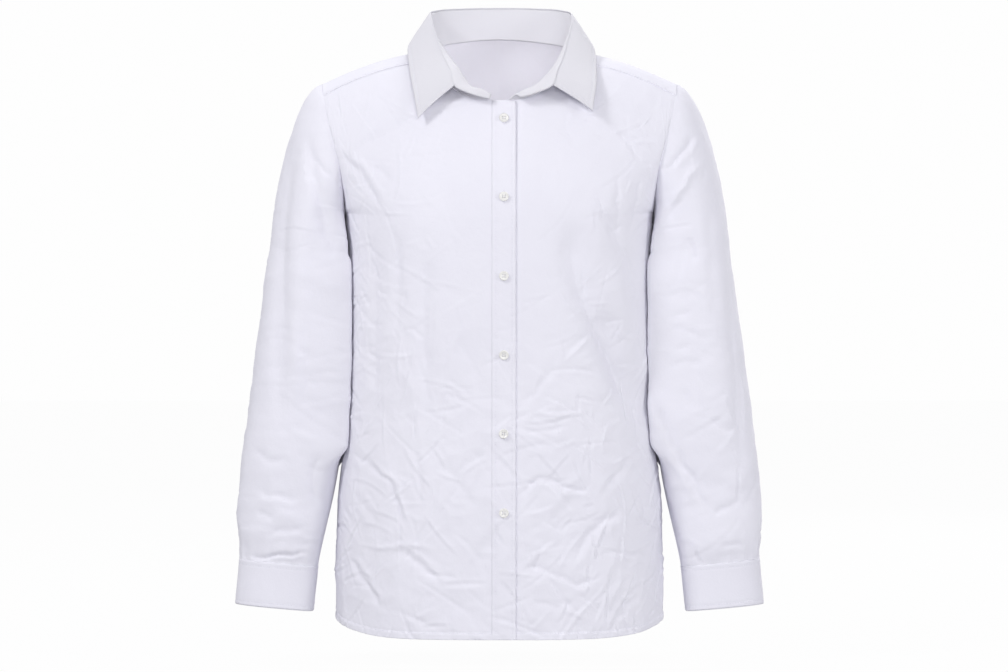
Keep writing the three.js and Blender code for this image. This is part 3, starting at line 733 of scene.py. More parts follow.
def front_point(side: int, edge: float, u: Array, v: Array) -> Array:
    """Finds a place on a front.

    Args:
        side: -1 for the wearer's right and 1 for the left.
        edge: How far the free edge stands from the centre, towards the panel's own side.
        u: 0 at the free edge and 1 at the side.
        v: 0 at the hem and 1 at the yoke.

    Returns:
        The place.
    """
    outer = outer_end(v, FRONT_YOKE_TURN)
    low = lerp(HEM_FRONT, ARMPIT_CENTRE, np.minimum(v / ARMPIT_V, 1))
    z = lerp(low, NECK_Z, np.clip((v - ARMPIT_V) / (NECK_V - ARMPIT_V), 0, 1))
    inner = spot(edge, -BODY.read("front", z), z)
    neck = NECKLINE.place(lerp(1, YOKE_NECK_AT, np.clip((v - NECK_V) / (1 - NECK_V), 0, 1)))
    inner = np.where((v > NECK_V)[..., None], neck, inner)
    start = angle_of(inner[..., 0] / outer[..., 0])
    point = row_point(inner, outer, lerp(start, math.pi / 2, u), v)
    return point * [side, 1, 1]


def right_front(u: Array, v: Array) -> Array:
    """Finds a place on the wearer's right front, which laps over the left one."""
    return front_point(-1, -BAND_EDGE, 1 - u, v)


def left_front(u: Array, v: Array) -> Array:
    """Finds a place on the wearer's left front, which lies under the right one at the band.

    Args:
        u: 0 at the free edge and 1 at the side.
        v: 0 at the hem and 1 at the yoke.

    Returns:
        The place.
    """
    point = front_point(1, UNDER_EDGE, u, v)
    under = 1 - smooth(point[..., 0], BAND_EDGE, BAND_EDGE + UNDER_EASE)
    point[..., 1] += UNDER_DROP * under * (1 + smooth(v, ARMPIT_V, NECK_V))
    return point


def band_face(u: Array, v: Array) -> Array:
    """Finds a place on the right front under the band, which is folded from its edge.

    Args:
        u: 0 at the band's inner edge and 1 at its free one.
        v: 0 at the hem and 1 at the neck.

    Returns:
        The place.
    """
    along = lerp(0.0, NECK_V, v)
    outer = outer_end(along, FRONT_YOKE_TURN)[..., 0]
    start = angle_of(-BAND_EDGE / outer)
    angle = angle_of(-lerp(UNDER_EDGE, BAND_EDGE, u) / outer)
    return front_point(-1, -BAND_EDGE, (angle - start) / (math.pi / 2 - start), along)


def back_point(u: Array, v: Array) -> Array:
    """Finds a place on the back, from the wearer's left side seam to the right one.

    Args:
        u: 0 at the left side and 1 at the right.
        v: 0 at the hem and 1 at the yoke.

    Returns:
        The place.
    """
    outer = outer_end(v, BACK_YOKE_TURN)
    low = lerp(HEM_BACK, ARMPIT_CENTRE, np.minimum(v / ARMPIT_V, 1))
    z = lerp(low, YOKE_BACK_Z, np.clip((v - ARMPIT_V) / (1 - ARMPIT_V), 0, 1))
    inner = spot(0, BODY.read("back", z), z)
    return row_point(inner, outer, lerp(math.pi / 2, -math.pi / 2, u), v)


def yoke_point(u: Array, v: Array) -> Array:
    """Finds a place on the yoke, from its seam on the fronts to its seam on the back.

    Args:
        u: 0 at the wearer's right armhole and 1 at the left.
        v: 0 at the front seam and 1 at the back seam.

    Returns:
        The place.
    """
    across = lerp(-1, 1, u)
    side, at = np.where(across < 0, -1, 1), np.abs(across)
    mirror = spot(side, 1, 1)
    on_front = np.clip((at - YOKE_NECK_AT) / (1 - YOKE_NECK_AT), 0, 1)
    seam = front_point(1, 0, on_front, np.ones(at.shape))
    front = np.where((at > YOKE_NECK_AT)[..., None], seam, NECKLINE.place(at)) * mirror
    back = back_point(0.5 - angle_of(at) * side / math.pi, np.ones(at.shape))
    under_neck = smooth(at, YOKE_NECK_AT - 0.01, YOKE_NECK_AT + 0.02)
    start = lerp(0.002, -0.035, under_neck)
    return through_three(front, YOKE_CROWN.place(at) * mirror, back, lerp(start, 1.03, v))


def stand_point(u: Array, v: Array) -> Array:
    """Finds a place on the collar stand, from the wearer's left end to the right one.

    Args:
        u: 0 at the left end and 1 at the right.
        v: 0 at the neckline and 1 at the stand's top.

    Returns:
        The place.
    """
    at = lerp(STAND_LAST, -STAND_LAST, u)
    base = NECKLINE.place(np.abs(at)) * spot(np.sign(at), 1, 1)
    crest, top = STAND.place(at, "cx cy cz"), STAND.place(at)
    return through_three(base, crest, top, lerp(STAND_START, 1, v))


def fall_point(u: Array, v: Array) -> Array:
    """Finds a place on the fall, from its free edge up and over the roll to the stand's top.

    Args:
        u: 0 at the wearer's left point and 1 at the right.
        v: 0 at the free edge and 1 at the end of the roll.

    Returns:
        The place.
    """
    at = lerp(FALL_LAST, -FALL_LAST, u)
    edge, stand_top = FALL.place(at), STAND.place(at)
    outwards = unit((edge - stand_top) * [1, 1, 0])
    top = stand_top + outwards * (STIFF_CLOTH + ROLL_GAP)
    middle = lerp(edge, top, 0.5) + outwards * FALL_BULGE
    leaf = through_three(edge, middle, top, np.minimum(v / LEAF_V, 1))
    ahead = unit(top - middle)
    turned = np.clip((v - LEAF_V) / (1 - LEAF_V), 0, 1)[..., None] * ROLL_TURN
    centre, reach = (top + stand_top) / 2, (top - stand_top) / 2
    roll = centre + reach * np.cos(turned) + ahead * np.sin(turned) * ROLL_HEIGHT
    return np.where((v > LEAF_V)[..., None], roll, leaf)


@dataclass(frozen=True)
class Lean:
    """A strip down a sleeve, whose slack leans against the body's side, in mm.

    Attributes:
        turn: Where it is, as a share of the way round.
        wide: How wide it is, as a share too.
        sets_in: Depths below the neck points between which it sets in.
        ends: Depths between which it ends.
        over: How far inside the body's half width it ends up.
    """

    turn: float
    wide: float
    sets_in: Pair
    ends: Pair
    over: float

    def reach(self, z: Array, turn: Array, x: Array) -> Array:
        """Finds how far the sleeve leans over.

        Args:
            z: The height of each place.
            turn: How far round it is.
            x: How far across it would be without leaning.

        Returns:
            The distance, towards the body.
        """
        strip = hill(turn, self.turn, self.wide)
        strip = strip * smooth(-z, *self.sets_in) * (1 - smooth(-z, *self.ends))
        return strip * np.maximum(x - BODY.read("half", z) + self.over, 0)


LEANS = (
    Lean(0.14, 0.062, (195, 245), (455, 498), 6.0),
    Lean(0.905, 0.05, (130, 215), (470, 505), 1.2),
)


def sleeve_ring(z: Array, turn: Array, grow: Array | float = 0.0) -> Array:
    """Finds a place on a ring of a sleeve or cuff.

    Args:
        z: The ring's height.
        turn: From the side next to the body (0) over the front, the outer side and the back.
        grow: How far outside the ring the place lies.

    Returns:
        The place, on the wearer's left.
    """
    inner, outer = SLEEVE.read("inner", z), SLEEVE.read("outer", z)
    across, deep = np.cos(turn * 2 * math.pi), np.sin(turn * 2 * math.pi)
    square = SQUARE + PRESSED_SQUARE * hill(turn, PRESSED_TURN, PRESSED_WIDE)
    fill = (np.abs(across) ** square + np.abs(deep) ** square) ** (-1 / square)
    aside = -across * fill * ((outer - inner) / 2 + grow)
    aside = aside - sum(lean.reach(z, turn, (inner + outer) / 2 + aside) for lean in LEANS)
    y = SLEEVE.read("y", z) - deep * fill * (SLEEVE.read("deep", z) + grow)
    return spot((inner + outer) / 2 + aside, y, z + SLEEVE_TILT * aside)


CAP_OUT = (4, 104)  # how the cloth leaves the armhole, at the armpit and at the shoulder
CAP_UP = (-50, -30)
CAP_ROUND, CAP_SAG = 14, 60  # and what that gains in front and behind
CAP_IN = (-2, 15)  # how it reaches the sleeve's first ring
CAP_DOWN = (-60, -200)


def cap_point(turn: Array, share: Array) -> Array:
    """Follows the sleeve's cap, outwards at the shoulder and downwards at the armpit.

    Args:
        turn: How far round the armhole the place is.
        share: 0 at the armhole and 1 at the sleeve's first ring.

    Returns:
        The place, on the wearer's left.
    """
    angle = turn * 2 * math.pi
    top = (1 - np.cos(angle)) / 2
    round_it = np.sin(angle)
    leave = spot(
        lerp(*CAP_OUT, top**1.5), -round_it * CAP_ROUND, lerp(*CAP_UP, top) - round_it**2 * CAP_SAG
    )
    arrive = spot(lerp(*CAP_IN, top), 0, lerp(*CAP_DOWN, top))
    ring = sleeve_ring(np.full(turn.shape, SLEEVE_HEAD_Z), turn)
    return cubic(ARMHOLE.place(turn), leave, ring, arrive, share[..., None])


def sleeve_point(side: int, u: Array, v: Array) -> Array:
    """Finds a place on a sleeve, from the cuff's seam up to the armhole.

    Args:
        side: -1 for the wearer's right and 1 for the left.
        u: The share of the way round, to the right as seen from outside.
        v: 0 at the cuff and 1 at the armhole.

    Returns:
        The place.
    """
    turn = u if side > 0 else 1 - u
    low = np.clip(v / (1 - CAP_SHARE), 0, 1)
    ring = sleeve_ring(lerp(CUFF_TOP - 2, SLEEVE_HEAD_Z, low), turn)
    cap = cap_point(turn, lerp(-0.012, 1, np.clip((1 - v) / CAP_SHARE, 0, 1)))
    return np.where((v < 1 - CAP_SHARE)[..., None], ring, cap) * [side, 1, 1]


def cuff_point(side: int, u: Array, v: Array) -> Array:
    """Finds a place on a cuff, whose end laps over its start at the back.

    Args:
        side: -1 for the wearer's right and 1 for the left.
        u: The share of the way round, to the right as seen from outside.
        v: 0 at the wrist and 1 at the sleeve.

    Returns:
        The place.
    """
    share = u if side > 0 else 1 - u
    turn = CUFF_START + share * (1 + CUFF_LAP)
    over = smooth(share, 1 - CUFF_LAP * 1.7, 1 - CUFF_LAP) * (STIFF_CLOTH + 0.7)
    return sleeve_ring(lerp(CUFF_BOTTOM, CUFF_TOP, v), turn % 1, over + CUFF_LIFT) * [side, 1, 1]


def slit_point(side: int, u: Array, v: Array) -> Array:
    """Finds a place on the strip that finishes a sleeve's opening."""
    turn = lerp(SLIT_FROM, SLIT_TO, u if side > 0 else 1 - u)
    return sleeve_ring(lerp(CUFF_TOP + 1, CUFF_TOP + SLIT_LENGTH, v), turn) * [side, 1, 1]


# ---- Cloth ----


@dataclass
class Cloth:
    """A piece of cloth while it is shaped: its places in mm, row by row.

    Attributes:
        u: Shares across.
        v: Shares up.
        place: The outer face.
        normal: The outward directions.
        flat: Places on the flat cloth, in mm.
    """

    u: Array
    v: Array
    place: Array
    normal: Array = field(init=False)
    flat: Array = field(init=False)

    def __post_init__(self) -> None:
        """Measures the cloth as it first lies."""
        self.turn_out()
        across = np.linalg.norm(np.diff(self.place, axis=1), axis=-1)
        up = np.linalg.norm(np.diff(self.place, axis=0), axis=-1)
        run = np.concatenate([np.zeros((len(across), 1)), np.cumsum(across, axis=1)], axis=1)
        run -= run[:, [run.shape[1] // 2]]
        rise = np.concatenate([np.zeros((1, up.shape[1])), np.cumsum(up, axis=0)], axis=0)
        self.flat = np.stack([run, rise], -1)

    def turn_out(self) -> None:
        """Works out the outward direction at each place."""
        across = np.gradient(self.place, axis=1)
        up = np.gradient(self.place, axis=0)
        if np.allclose(self.place[:, 0], self.place[:, -1], atol=0.01):
            seam = self.place[:, 1] - self.place[:, -2]
            across[:, 0] = across[:, -1] = seam
        self.normal = unit(np.cross(across, up))

    def move_out(self, distance: Array | float) -> None:
        """Moves the face outwards along its directions, and turns them to suit."""
        self.place = self.place + self.normal * np.asarray(distance)[..., None]
        self.turn_out()

    def at(self, u: Array, v: Array) -> tuple[Array, Array]:
        """Reads the face between its places.

        Args:
            u: Shares across.
            v: Shares up.

        Returns:
            The places and their outward directions.
        """
        column = np.interp(u, self.u[0], np.arange(self.u.shape[1]))
        row = np.interp(v, self.v[:, 0], np.arange(self.v.shape[0]))
        c = np.clip(column.astype(int), 0, self.u.shape[1] - 2)
        r = np.clip(row.astype(int), 0, self.v.shape[0] - 2)
        s, t = (column - c)[:, None], (row - r)[:, None]
        found = [
            lerp(lerp(a[r, c], a[r, c + 1], s), lerp(a[r + 1, c], a[r + 1, c + 1], s), t)
            for a in (self.place, self.normal)
        ]
        return found[0], unit(found[1])

    def shares_at(self, rise: Array | float) -> Array:
        """Finds how far up each column is where it has risen this much.

        Args:
            rise: How far above the lower edge, in mm, for each column or for all of them.

        Returns:
            The share of the way up, for each column.
        """
        rises = np.broadcast_to(rise, self.u.shape[1:])
        levels = self.flat[..., 1].T
        return np.array([np.interp(r, level, self.v[:, 0]) for r, level in zip(rises, levels)])


def even(count: int) -> Array:
    """Divides 0 to 1 into this many equal steps."""
    return np.linspace(0, 1, count + 1)


def spread(count: int, edges: Sequence[tuple[float, float, float]] = ()) -> Array:
    """Divides 0 to 1 into steps that are finer near some places.

    Args:
        count: How many steps.
        edges: For each place, its share of the way, the reach and how many times finer it is.

    Returns:
        The divisions.
    """
    fine = np.linspace(0, 1, 2001)
    density = np.ones(fine.shape)
    for middle, reach, times in edges:
        density += (times - 1) * hill(fine, middle, reach)
    total = np.concatenate([[0], np.cumsum((density[1:] + density[:-1]) / 2)])
    return np.interp(np.linspace(0, total[-1], count + 1), total, fine)


def lay_out(face: Face, across: Array, up: Array) -> Cloth:
    """Lays cloth on a face.

    Args:
        face: Gives the face's places.
        across: The divisions across.
        up: The divisions up.

    Returns:
        The cloth.
    """
    u, v = np.meshgrid(across, up)
    return Cloth(u, v, face(u, v))


def mesh_of(bm: bmesh.types.BMesh, name: str) -> bpy.types.Mesh:
    """Makes a mesh of one that is under work, which ends there.

    Args:
        bm: The mesh under work.
        name: The new mesh's name.

    Returns:
        The mesh.
    """
    mesh = bpy.data.meshes.new(name)
    bm.to_mesh(mesh)
    bm.free()
    return mesh


def put_in(name: str, data: bpy.types.ID) -> bpy.types.Object:
    """Puts a mesh, light or camera in the scene.

    Args:
        name: The object's name.
        data: What it shows.

    Returns:
        The object.
    """
    made = bpy.data.objects.new(name, data)
    bpy.context.scene.collection.objects.link(made)
    return made


def sewn(name: str, cloth: Cloth, ring: bool = False) -> bpy.types.Object:
    """Makes a mesh of shaped cloth.

    Args:
        name: The piece's name.
        cloth: The shaped cloth.
        ring: Whether its sides are sewn together.

    Returns:
        The piece, as one face without thickness.
    """
    rows, columns = cloth.u.shape
    bm = bmesh.new()
    bmesh.ops.create_grid(
        bm, x_segments=columns - 1, y_segments=rows - 1, size=0.5, calc_uvs=False
    )
    layer = bm.loops.layers.uv.new("Cloth")
    for vert in bm.verts:
        c = round((vert.co.x + 0.5) * (columns - 1))
        r = round((vert.co.y + 0.5) * (rows - 1))
        vert.co = cloth.place[r, c] * MM
        flat = cloth.flat[r, c] * MM
        for loop in vert.link_loops:
            loop[layer].uv = flat
    if ring:
        bmesh.ops.remove_doubles(bm, verts=bm.verts, dist=1e-6)
    mesh = mesh_of(bm, name)
    mesh.shade_smooth()
    return put_in(name, mesh)


def thicken(piece: bpy.types.Object, thickness: float) -> None:
    """Gives a piece of cloth its thickness, inwards from its outer face.

    Args:
        piece: The piece.
        thickness: The thickness, in mm.
    """
    wall = piece.modifiers.new("Thickness", "SOLIDIFY")
    wall.thickness = thickness * MM
    wall.offset = -1
    wall.use_even_offset = False


def dress(piece: bpy.types.Object, finish: bpy.types.Material) -> None:
    """Gives a piece its finish, and makes it part of the shirt.

    Args:
        piece: The piece.
        finish: The material.
    """
    piece.data.materials.append(finish)
    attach(piece, "root")


# ---- Sewing thread ----

STITCH_LENGTH, STITCH_GAP, THREAD_WIDE = 2.4, 0.9, 0.5


class Thread:
    """Collects rows of lockstitch, and makes one mesh of them."""

    def __init__(self) -> None:
        """Starts with no stitches."""
        self.bm = bmesh.new()

    def sew(self, cloth: Cloth, u: Array, v: Array, lift: float = 0.05) -> None:
        """Sews a row of stitches along a line on some cloth.

        Args:
            cloth: The shaped cloth.
            u: Shares across, along the line.
            v: Shares up, along the line.
            lift: How far the thread stands off the face, in mm.
        """
        u, v = np.broadcast_arrays(np.asarray(u, float), np.asarray(v, float))
        place, normal = cloth.at(u, v)
        run = np.concatenate([[0], np.cumsum(np.linalg.norm(np.diff(place, axis=0), axis=1))])
        starts = np.arange(STITCH_GAP, run[-1] - STITCH_LENGTH, STITCH_LENGTH + STITCH_GAP)
        for start in starts:
            middle = start + STITCH_LENGTH / 2
            ends = [
                Vector([np.interp(at, run, place[:, i]) for i in range(3)])
                for at in (start, start + STITCH_LENGTH)
            ]
            out = Vector([np.interp(middle, run, normal[:, i]) for i in range(3)]).normalized()
            self.stitch(ends[0] + out * lift, ends[1] + out * lift, out)

    def sew_level(self, cloth: Cloth, rise: Array | float, ends: Pair, steps: int) -> None:
        """Sews a row of stitches at one level above the cloth's lower edge.

        Args:
            cloth: The shaped cloth.
            rise: The level, in mm, for each column or for all of them.
            ends: Where the row starts and stops across.
            steps: At how many places its line is worked out.
        """
        u = np.linspace(*ends, steps)
        self.sew(cloth, u, np.interp(u, cloth.u[0], cloth.shares_at(rise)))

    def stitch(self, start: Vector, end: Vector, out: Vector, wide: float = THREAD_WIDE) -> None:
        """Adds one stitch.

        Args:
            start: One end, in mm.
            end: The other end.
            out: The way that the cloth faces.
            wide: The thread's thickness.
        """
        along = (end - start).normalized()
        side = out.cross(along).normalized()
        frame_of = Matrix((along, side, along.cross(side))).transposed().to_4x4()
        size = Matrix.Diagonal(((end - start).length / 2, wide / 2, wide / 2, 1))
        place = Matrix.Translation((start + end) / 2)
        shape = Matrix.Scale(MM, 4) @ place @ frame_of @ size
        bmesh.ops.create_icosphere(self.bm, subdivisions=1, radius=1.0, matrix=shape)

    def finish(self, name: str) -> bpy.types.Object:
        """Makes the mesh.

        Args:
            name: The piece's name.

        Returns:
            The piece.
        """
        bmesh.ops.recalc_face_normals(self.bm, faces=self.bm.faces)
        mesh = mesh_of(self.bm, name)
        mesh.shade_smooth()
        return put_in(name, mesh)


# ---- Finishes ----


def linear(hex_colour: str) -> tuple[float, float, float, float]:
    """Turns an sRGB hex colour into Blender's linear one.

    Args:
        hex_colour: A hash sign and six digits.

    Returns:
        Red, green and blue as linear shares, and an alpha of 1.
    """
    shares = [int(hex_colour[i : i + 2], 16) / 255 for i in (1, 3, 5)]
    red, green, blue = (
        s / 12.92 if s <= 0.04045 else ((s + 0.055) / 1.055) ** 2.4 for s in shares
    )
    return (red, green, blue, 1.0)


def add_node(
    tree: bpy.types.NodeTree,
    kind: str,
    settings: dict[str, object] | None = None,
    inputs: dict[str | int, object] | None = None,
) -> bpy.types.Node:
    """Adds a node.

    Args:
        tree: Where it goes.
        kind: Blender's name for it.
        settings: Values of its properties.
        inputs: For each of its inputs, a value or the socket that feeds it.

    Returns:
        The node.
    """
    made = tree.nodes.new(kind)
    for name, value in (settings or {}).items():
        setattr(made, name, value)
    for name, value in (inputs or {}).items():
        if isinstance(value, bpy.types.NodeSocket):
            tree.links.new(value, made.inputs[name])
        else:
            made.inputs[name].default_value = value
    return made


def per_metre(size_mm: float) -> float:
    """Gives the noise scale whose grains are about this many mm apart."""
    return 1 / (size_mm * MM)


def bands_per_metre(period_mm: float) -> float:
    """Gives the wave scale whose bands are this many mm apart."""
    return math.pi / 10 / (period_mm * MM)


def new_material(name: str) -> tuple[bpy.types.Material, bpy.types.NodeTree]:
    """Makes an empty material.

    Args:
        name: Its name.

    Returns:
        The material and its tree of nodes.
    """
    material = bpy.data.materials.new(name)
    material.use_nodes = True
    material.node_tree.nodes.clear()
    return material, material.node_tree


@dataclass(frozen=True)
class Poplin:
    """White cotton poplin, plain-woven from fine bleached yarn, with a cool optical whitener.

    Matt, with the yarns just felt as a grain and short unpressed wrinkles all over.

    Attributes:
        name: The material's name.
        light: The cloth's colour.
        shade: Its colour where the yarn lies thinner.
        wrinkle: The depth of the small wrinkles, in mm.
        clouds: How far apart the faint clouds of colour lie, in mm.
        slubs: How far apart the yarns' thick spots lie.
        wrinkles: How far apart the small wrinkles lie, the longer and the shorter ones.
        thread: How far apart the yarns lie.
    """

    name: str
    light: str = "#ecebf4"
    shade: str = "#e5e4ee"
    wrinkle: float = 0.5
    clouds: float = 90.0
    slubs: float = 2.2
    wrinkles: Pair = (34.0, 11.0)
    thread: float = 0.9  # real yarns lie 0.25 mm apart, which is too fine to show

    def make(self) -> bpy.types.Material:
        """Makes the material.

        Returns:
            The material.
        """
        material, tree = new_material(self.name)
        coordinates = add_node(tree, "ShaderNodeTexCoord").outputs["Object"]
        flat = add_node(tree, "ShaderNodeUVMap", {"uv_map": "Cloth"}).outputs["UV"]
        cloud = add_node(
            tree,
            "ShaderNodeTexNoise",
            inputs={"Vector": coordinates, "Scale": per_metre(self.clouds), "Detail": 3.0},
        )
        slub = add_node(
            tree,
            "ShaderNodeTexNoise",
            inputs={"Vector": flat, "Scale": per_metre(self.slubs), "Detail": 2.0},
        )
        mixed = add_node(
            tree,
            "ShaderNodeMath",
            {"operation": "MULTIPLY_ADD", "use_clamp": True},
            {0: slub.outputs["Fac"], 1: 0.35, 2: cloud.outputs["Fac"]},
        )
        colour = add_node(
            tree,
            "ShaderNodeMix",
            {"data_type": "RGBA"},
            {"Factor": mixed.outputs[0], 6: linear(self.shade), 7: linear(self.light)},
        )
        long_scale, short_scale = (per_metre(size) for size in self.wrinkles)
        long_ones = add_node(
            tree,
            "ShaderNodeTexNoise",
            {"noise_type": "RIDGED_MULTIFRACTAL", "normalize": True},
            {"Vector": coordinates, "Scale": long_scale, "Detail": 3.0, "Roughness": 0.45},
        )
        short_ones = add_node(
            tree,
            "ShaderNodeTexNoise",
            inputs={"Vector": coordinates, "Scale": short_scale, "Detail": 2.0},
        )
        heights = [
            (long_ones.outputs["Fac"], self.wrinkle),
            (short_ones.outputs["Fac"], self.wrinkle * 0.8),
            (slub.outputs["Fac"], 0.1),
        ]
        for direction in ("X", "Y"):
            yarn = add_node(
                tree,
                "ShaderNodeTexWave",
                {"bands_direction": direction},
                {"Vector": flat, "Scale": bands_per_metre(self.thread), "Distortion": 0.6},
            )
            heights.append((yarn.outputs["Fac"], 0.03))
        bump = None
        for height, depth in heights:
            inputs = {"Height": height, "Distance": depth * MM, "Strength": 1.0}
            if bump is not None:
                inputs["Normal"] = bump.outputs["Normal"]
            bump = add_node(tree, "ShaderNodeBump", inputs=inputs)
        shader = add_node(
            tree,
            "ShaderNodeBsdfPrincipled",
            inputs={
                "Base Color": colour.outputs[2],
                "Normal": bump.outputs["Normal"],
                "Roughness": 0.88,
                "IOR": 1.53,
                "Specular IOR Level": 0.25,
                "Sheen Weight": 0.12,
                "Sheen Roughness": 0.5,
            },
        )
        add_node(
            tree, "ShaderNodeOutputMaterial", inputs={"Surface": shader.outputs["BSDF"]}
        )
        return material


@dataclass(frozen=True)
class CastResin:
    """Cast polyester resin, turned and tumbled: a soft gloss, milky, a little warmer than cloth.

    Attributes:
        name: The material's name.
    """

    name: str = "cast_polyester_resin"

    def make(self) -> bpy.types.Material:
        """Makes the material.

        Returns:
            The material.
        """
        material, tree = new_material(self.name)
        coordinates = add_node(tree, "ShaderNodeTexCoord").outputs["Object"]
        milk = add_node(
            tree,
            "ShaderNodeTexNoise",
            inputs={"Vector": coordinates, "Scale": per_metre(4), "Detail": 2.0},
        )
        colour = add_node(
            tree,
            "ShaderNodeMix",
            {"data_type": "RGBA"},
            {"Factor": milk.outputs["Fac"], 6: linear("#e3e2df"), 7: linear("#f1f0ed")},
        )
        scuffs = add_node(
            tree,
            "ShaderNodeTexNoise",
            inputs={"Vector": coordinates, "Scale": per_metre(0.8), "Detail": 2.0},
        )
        bump = add_node(
            tree,
            "ShaderNodeBump",
            inputs={"Height": scuffs.outputs["Fac"], "Distance": 0.01 * MM, "Strength": 0.5},
        )
        shader = add_node(
            tree,
            "ShaderNodeBsdfPrincipled",
            inputs={
                "Base Color": colour.outputs[2],
                "Normal": bump.outputs["Normal"],
                "Roughness": 0.3,
                "IOR": 1.55,
                "Coat Weight": 0.2,
                "Coat Roughness": 0.2,
            },
        )
        add_node(
            tree, "ShaderNodeOutputMaterial", inputs={"Surface": shader.outputs["BSDF"]}
        )
        return material


@dataclass(frozen=True)
class SpunPolyester:
    """Spun polyester sewing thread, two plies twisted: dull, with a fine slanting twist.

    Attributes:
        name: The material's name.
        twist: How far apart the plies' turns lie, in mm.
    """

    name: str = "spun_polyester_thread"
    twist: float = 1.0  # real plies turn each 0.5 mm, which is too fine to show

    def make(self) -> bpy.types.Material:
        """Makes the material.

        Returns:
            The material.
        """
        material, tree = new_material(self.name)
        coordinates = add_node(tree, "ShaderNodeTexCoord").outputs["Object"]
        plies = add_node(
            tree,
            "ShaderNodeTexWave",
            {"bands_direction": "DIAGONAL"},
            {"Vector": coordinates, "Scale": bands_per_metre(self.twist)},
        )
        # The thread is darker in the twist's grooves, where the bump is lowest: painted shade.
        colour = add_node(
            tree,
            "ShaderNodeMix",
            {"data_type": "RGBA"},
            {"Factor": plies.outputs["Fac"], 6: linear("#d6d5e2"), 7: linear("#efeef7")},
        )
        bump = add_node(
            tree,
            "ShaderNodeBump",
            inputs={"Height": plies.outputs["Fac"], "Distance": 0.05 * MM, "Strength": 1.0},
        )
        shader = add_node(
            tree,
            "ShaderNodeBsdfPrincipled",
            inputs={
                "Base Color": colour.outputs[2],
                "Normal": bump.outputs["Normal"],
                "Roughness": 0.75,
                "Sheen Weight": 0.1,
            },
        )
        add_node(
            tree, "ShaderNodeOutputMaterial", inputs={"Surface": shader.outputs["BSDF"]}
        )
        return material


# ---- The shirt's pieces ----


class Slot(Enum):
    """The finishes that the shirt's record names."""

    SHIRTING = "shirting"
    INTERLINED = "interlined_shirting"
    BUTTON = "button"


@dataclass
class Workroom:
    """What every piece is made with.

    Attributes:
        poplin: The cloth of the panels.
        interlined: The cloth of the cuffs, which an interlining keeps smoother.
        collar: The cloth of the collar, which its interlining keeps smoother; its darker tone is
            painted shade.
        thread: The stitches sewn so far.
    """

    poplin: bpy.types.Material
    interlined: bpy.types.Material
    collar: bpy.types.Material
    thread: Thread = field(default_factory=Thread)

    def hand_over(
        self, name: str, cloth: Cloth, ring: bool = False
    ) -> bpy.types.Object:
        """Sews shaped cloth into the piece that stands for a part of the frame.

        Args:
            name: The frame's name for the piece.
            cloth: The shaped cloth.
            ring: Whether its sides are sewn together.

        Returns:
            The piece.
        """
        collar, cuff = name.startswith("collar"), name.endswith("cuff")
        stiff = collar or cuff
        piece = sewn(f"{name}_cloth", cloth, ring)
        thicken(piece, STIFF_CLOTH if stiff else CLOTH)
        finish = self.collar if collar else self.interlined if cuff else self.poplin
        dress(piece, finish)
        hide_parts(name)
        wide, high = np.ptp(cloth.flat[..., 0]) * MM, np.ptp(cloth.flat[..., 1]) * MM
        log.info("%s: %d faces, %.3f by %.3f m", name, len(piece.data.polygons), wide, high)
        return piece


# The crumple, the largest size first, with the short creases last
BODY_CRUSH = (
    Crush(62, 3.4, 0, 0.7),
    Crush(25, 1.8, 40),
    Strewn(620, 1.15, (-290, 290, -700, -60), 80),
)
SLEEVE_CRUSH = (
    Crush(52, 3.8, 50, 0.75),
    Crush(24, 1.5, 54),
    Strewn(190, 1.1, (-240, 240, -620, -60), 64),
)
YOKE_CRUSH = (Crush(42, 0.55, 61), Crush(17, 0.2, 62))
STAND_CRUSH, FALL_CRUSH, CUFF_CRUSH = Crush(30, 0.35, 91), Crush(36, 0.6, 95), Crush(26, 0.4, 71)
FRONT_SEED, BACK_SEED = 3, 29
WRAP_HALF, WRAP_RADIUS = 205, 190  # turn places across the body into places along the cloth
CRUSHED_DEPTHS, TOP_CRUSH = (90, 520), 0.46  # the crumple grows down the body from this share
CHEST_HALF, CHEST_LEVELS, CHEST_CALM = 95, (-430, -290), 0.75
CREASE_SHARE = 0.74  # of their full depth that the fronts' creases have
SEAM_REACH = 0.03  # the share of a front over which its creases set in from the side seam


def crushed(parts: Sequence[Crush | Strewn], cloth: Array, shift: int = 0) -> Array:
    """Adds up the sizes of a piece's crumple, in another pattern for another shift."""
    return sum(part.relief(cloth, shift) for part in parts)


def body_wrinkles(place: Array, seed: int) -> Array:
    """Gives the all-over crumple of the body, calmer on the chest beside the band.

    Args:
        place: Places on the cloth before it is crumpled.
        seed: Picks the pattern.

    Returns:
        How far the cloth stands out.
    """
    x, z = place[..., 0], place[..., 2]
    round_body = np.arcsin(np.clip(x / WRAP_HALF, -1, 1)) * WRAP_RADIUS
    chest = hill(x, 0, CHEST_HALF) * smooth(z, *CHEST_LEVELS)
    strength = lerp(TOP_CRUSH, 1.0, smooth(-z, *CRUSHED_DEPTHS)) * (1 - CHEST_CALM * chest)
    return crushed(BODY_CRUSH, np.stack([round_body, z], -1), seed) * strength


def front_relief(place: Array, normal: Array) -> Array:
    """Gives the creases and the crumple of the fronts.

    Args:
        place: Places on the fronts before they are crumpled.
        normal: Their outward directions.

    Returns:
        How far the cloth stands out.
    """
    x, z = place[..., 0], place[..., 2]
    creases = pressed(RIGHT_FRONT_CREASES + LEFT_FRONT_CREASES, x, z)
    seen = smooth(-normal[..., 1], 0.05, 0.4)
    return body_wrinkles(place, FRONT_SEED) - creases * seen * CREASE_SHARE


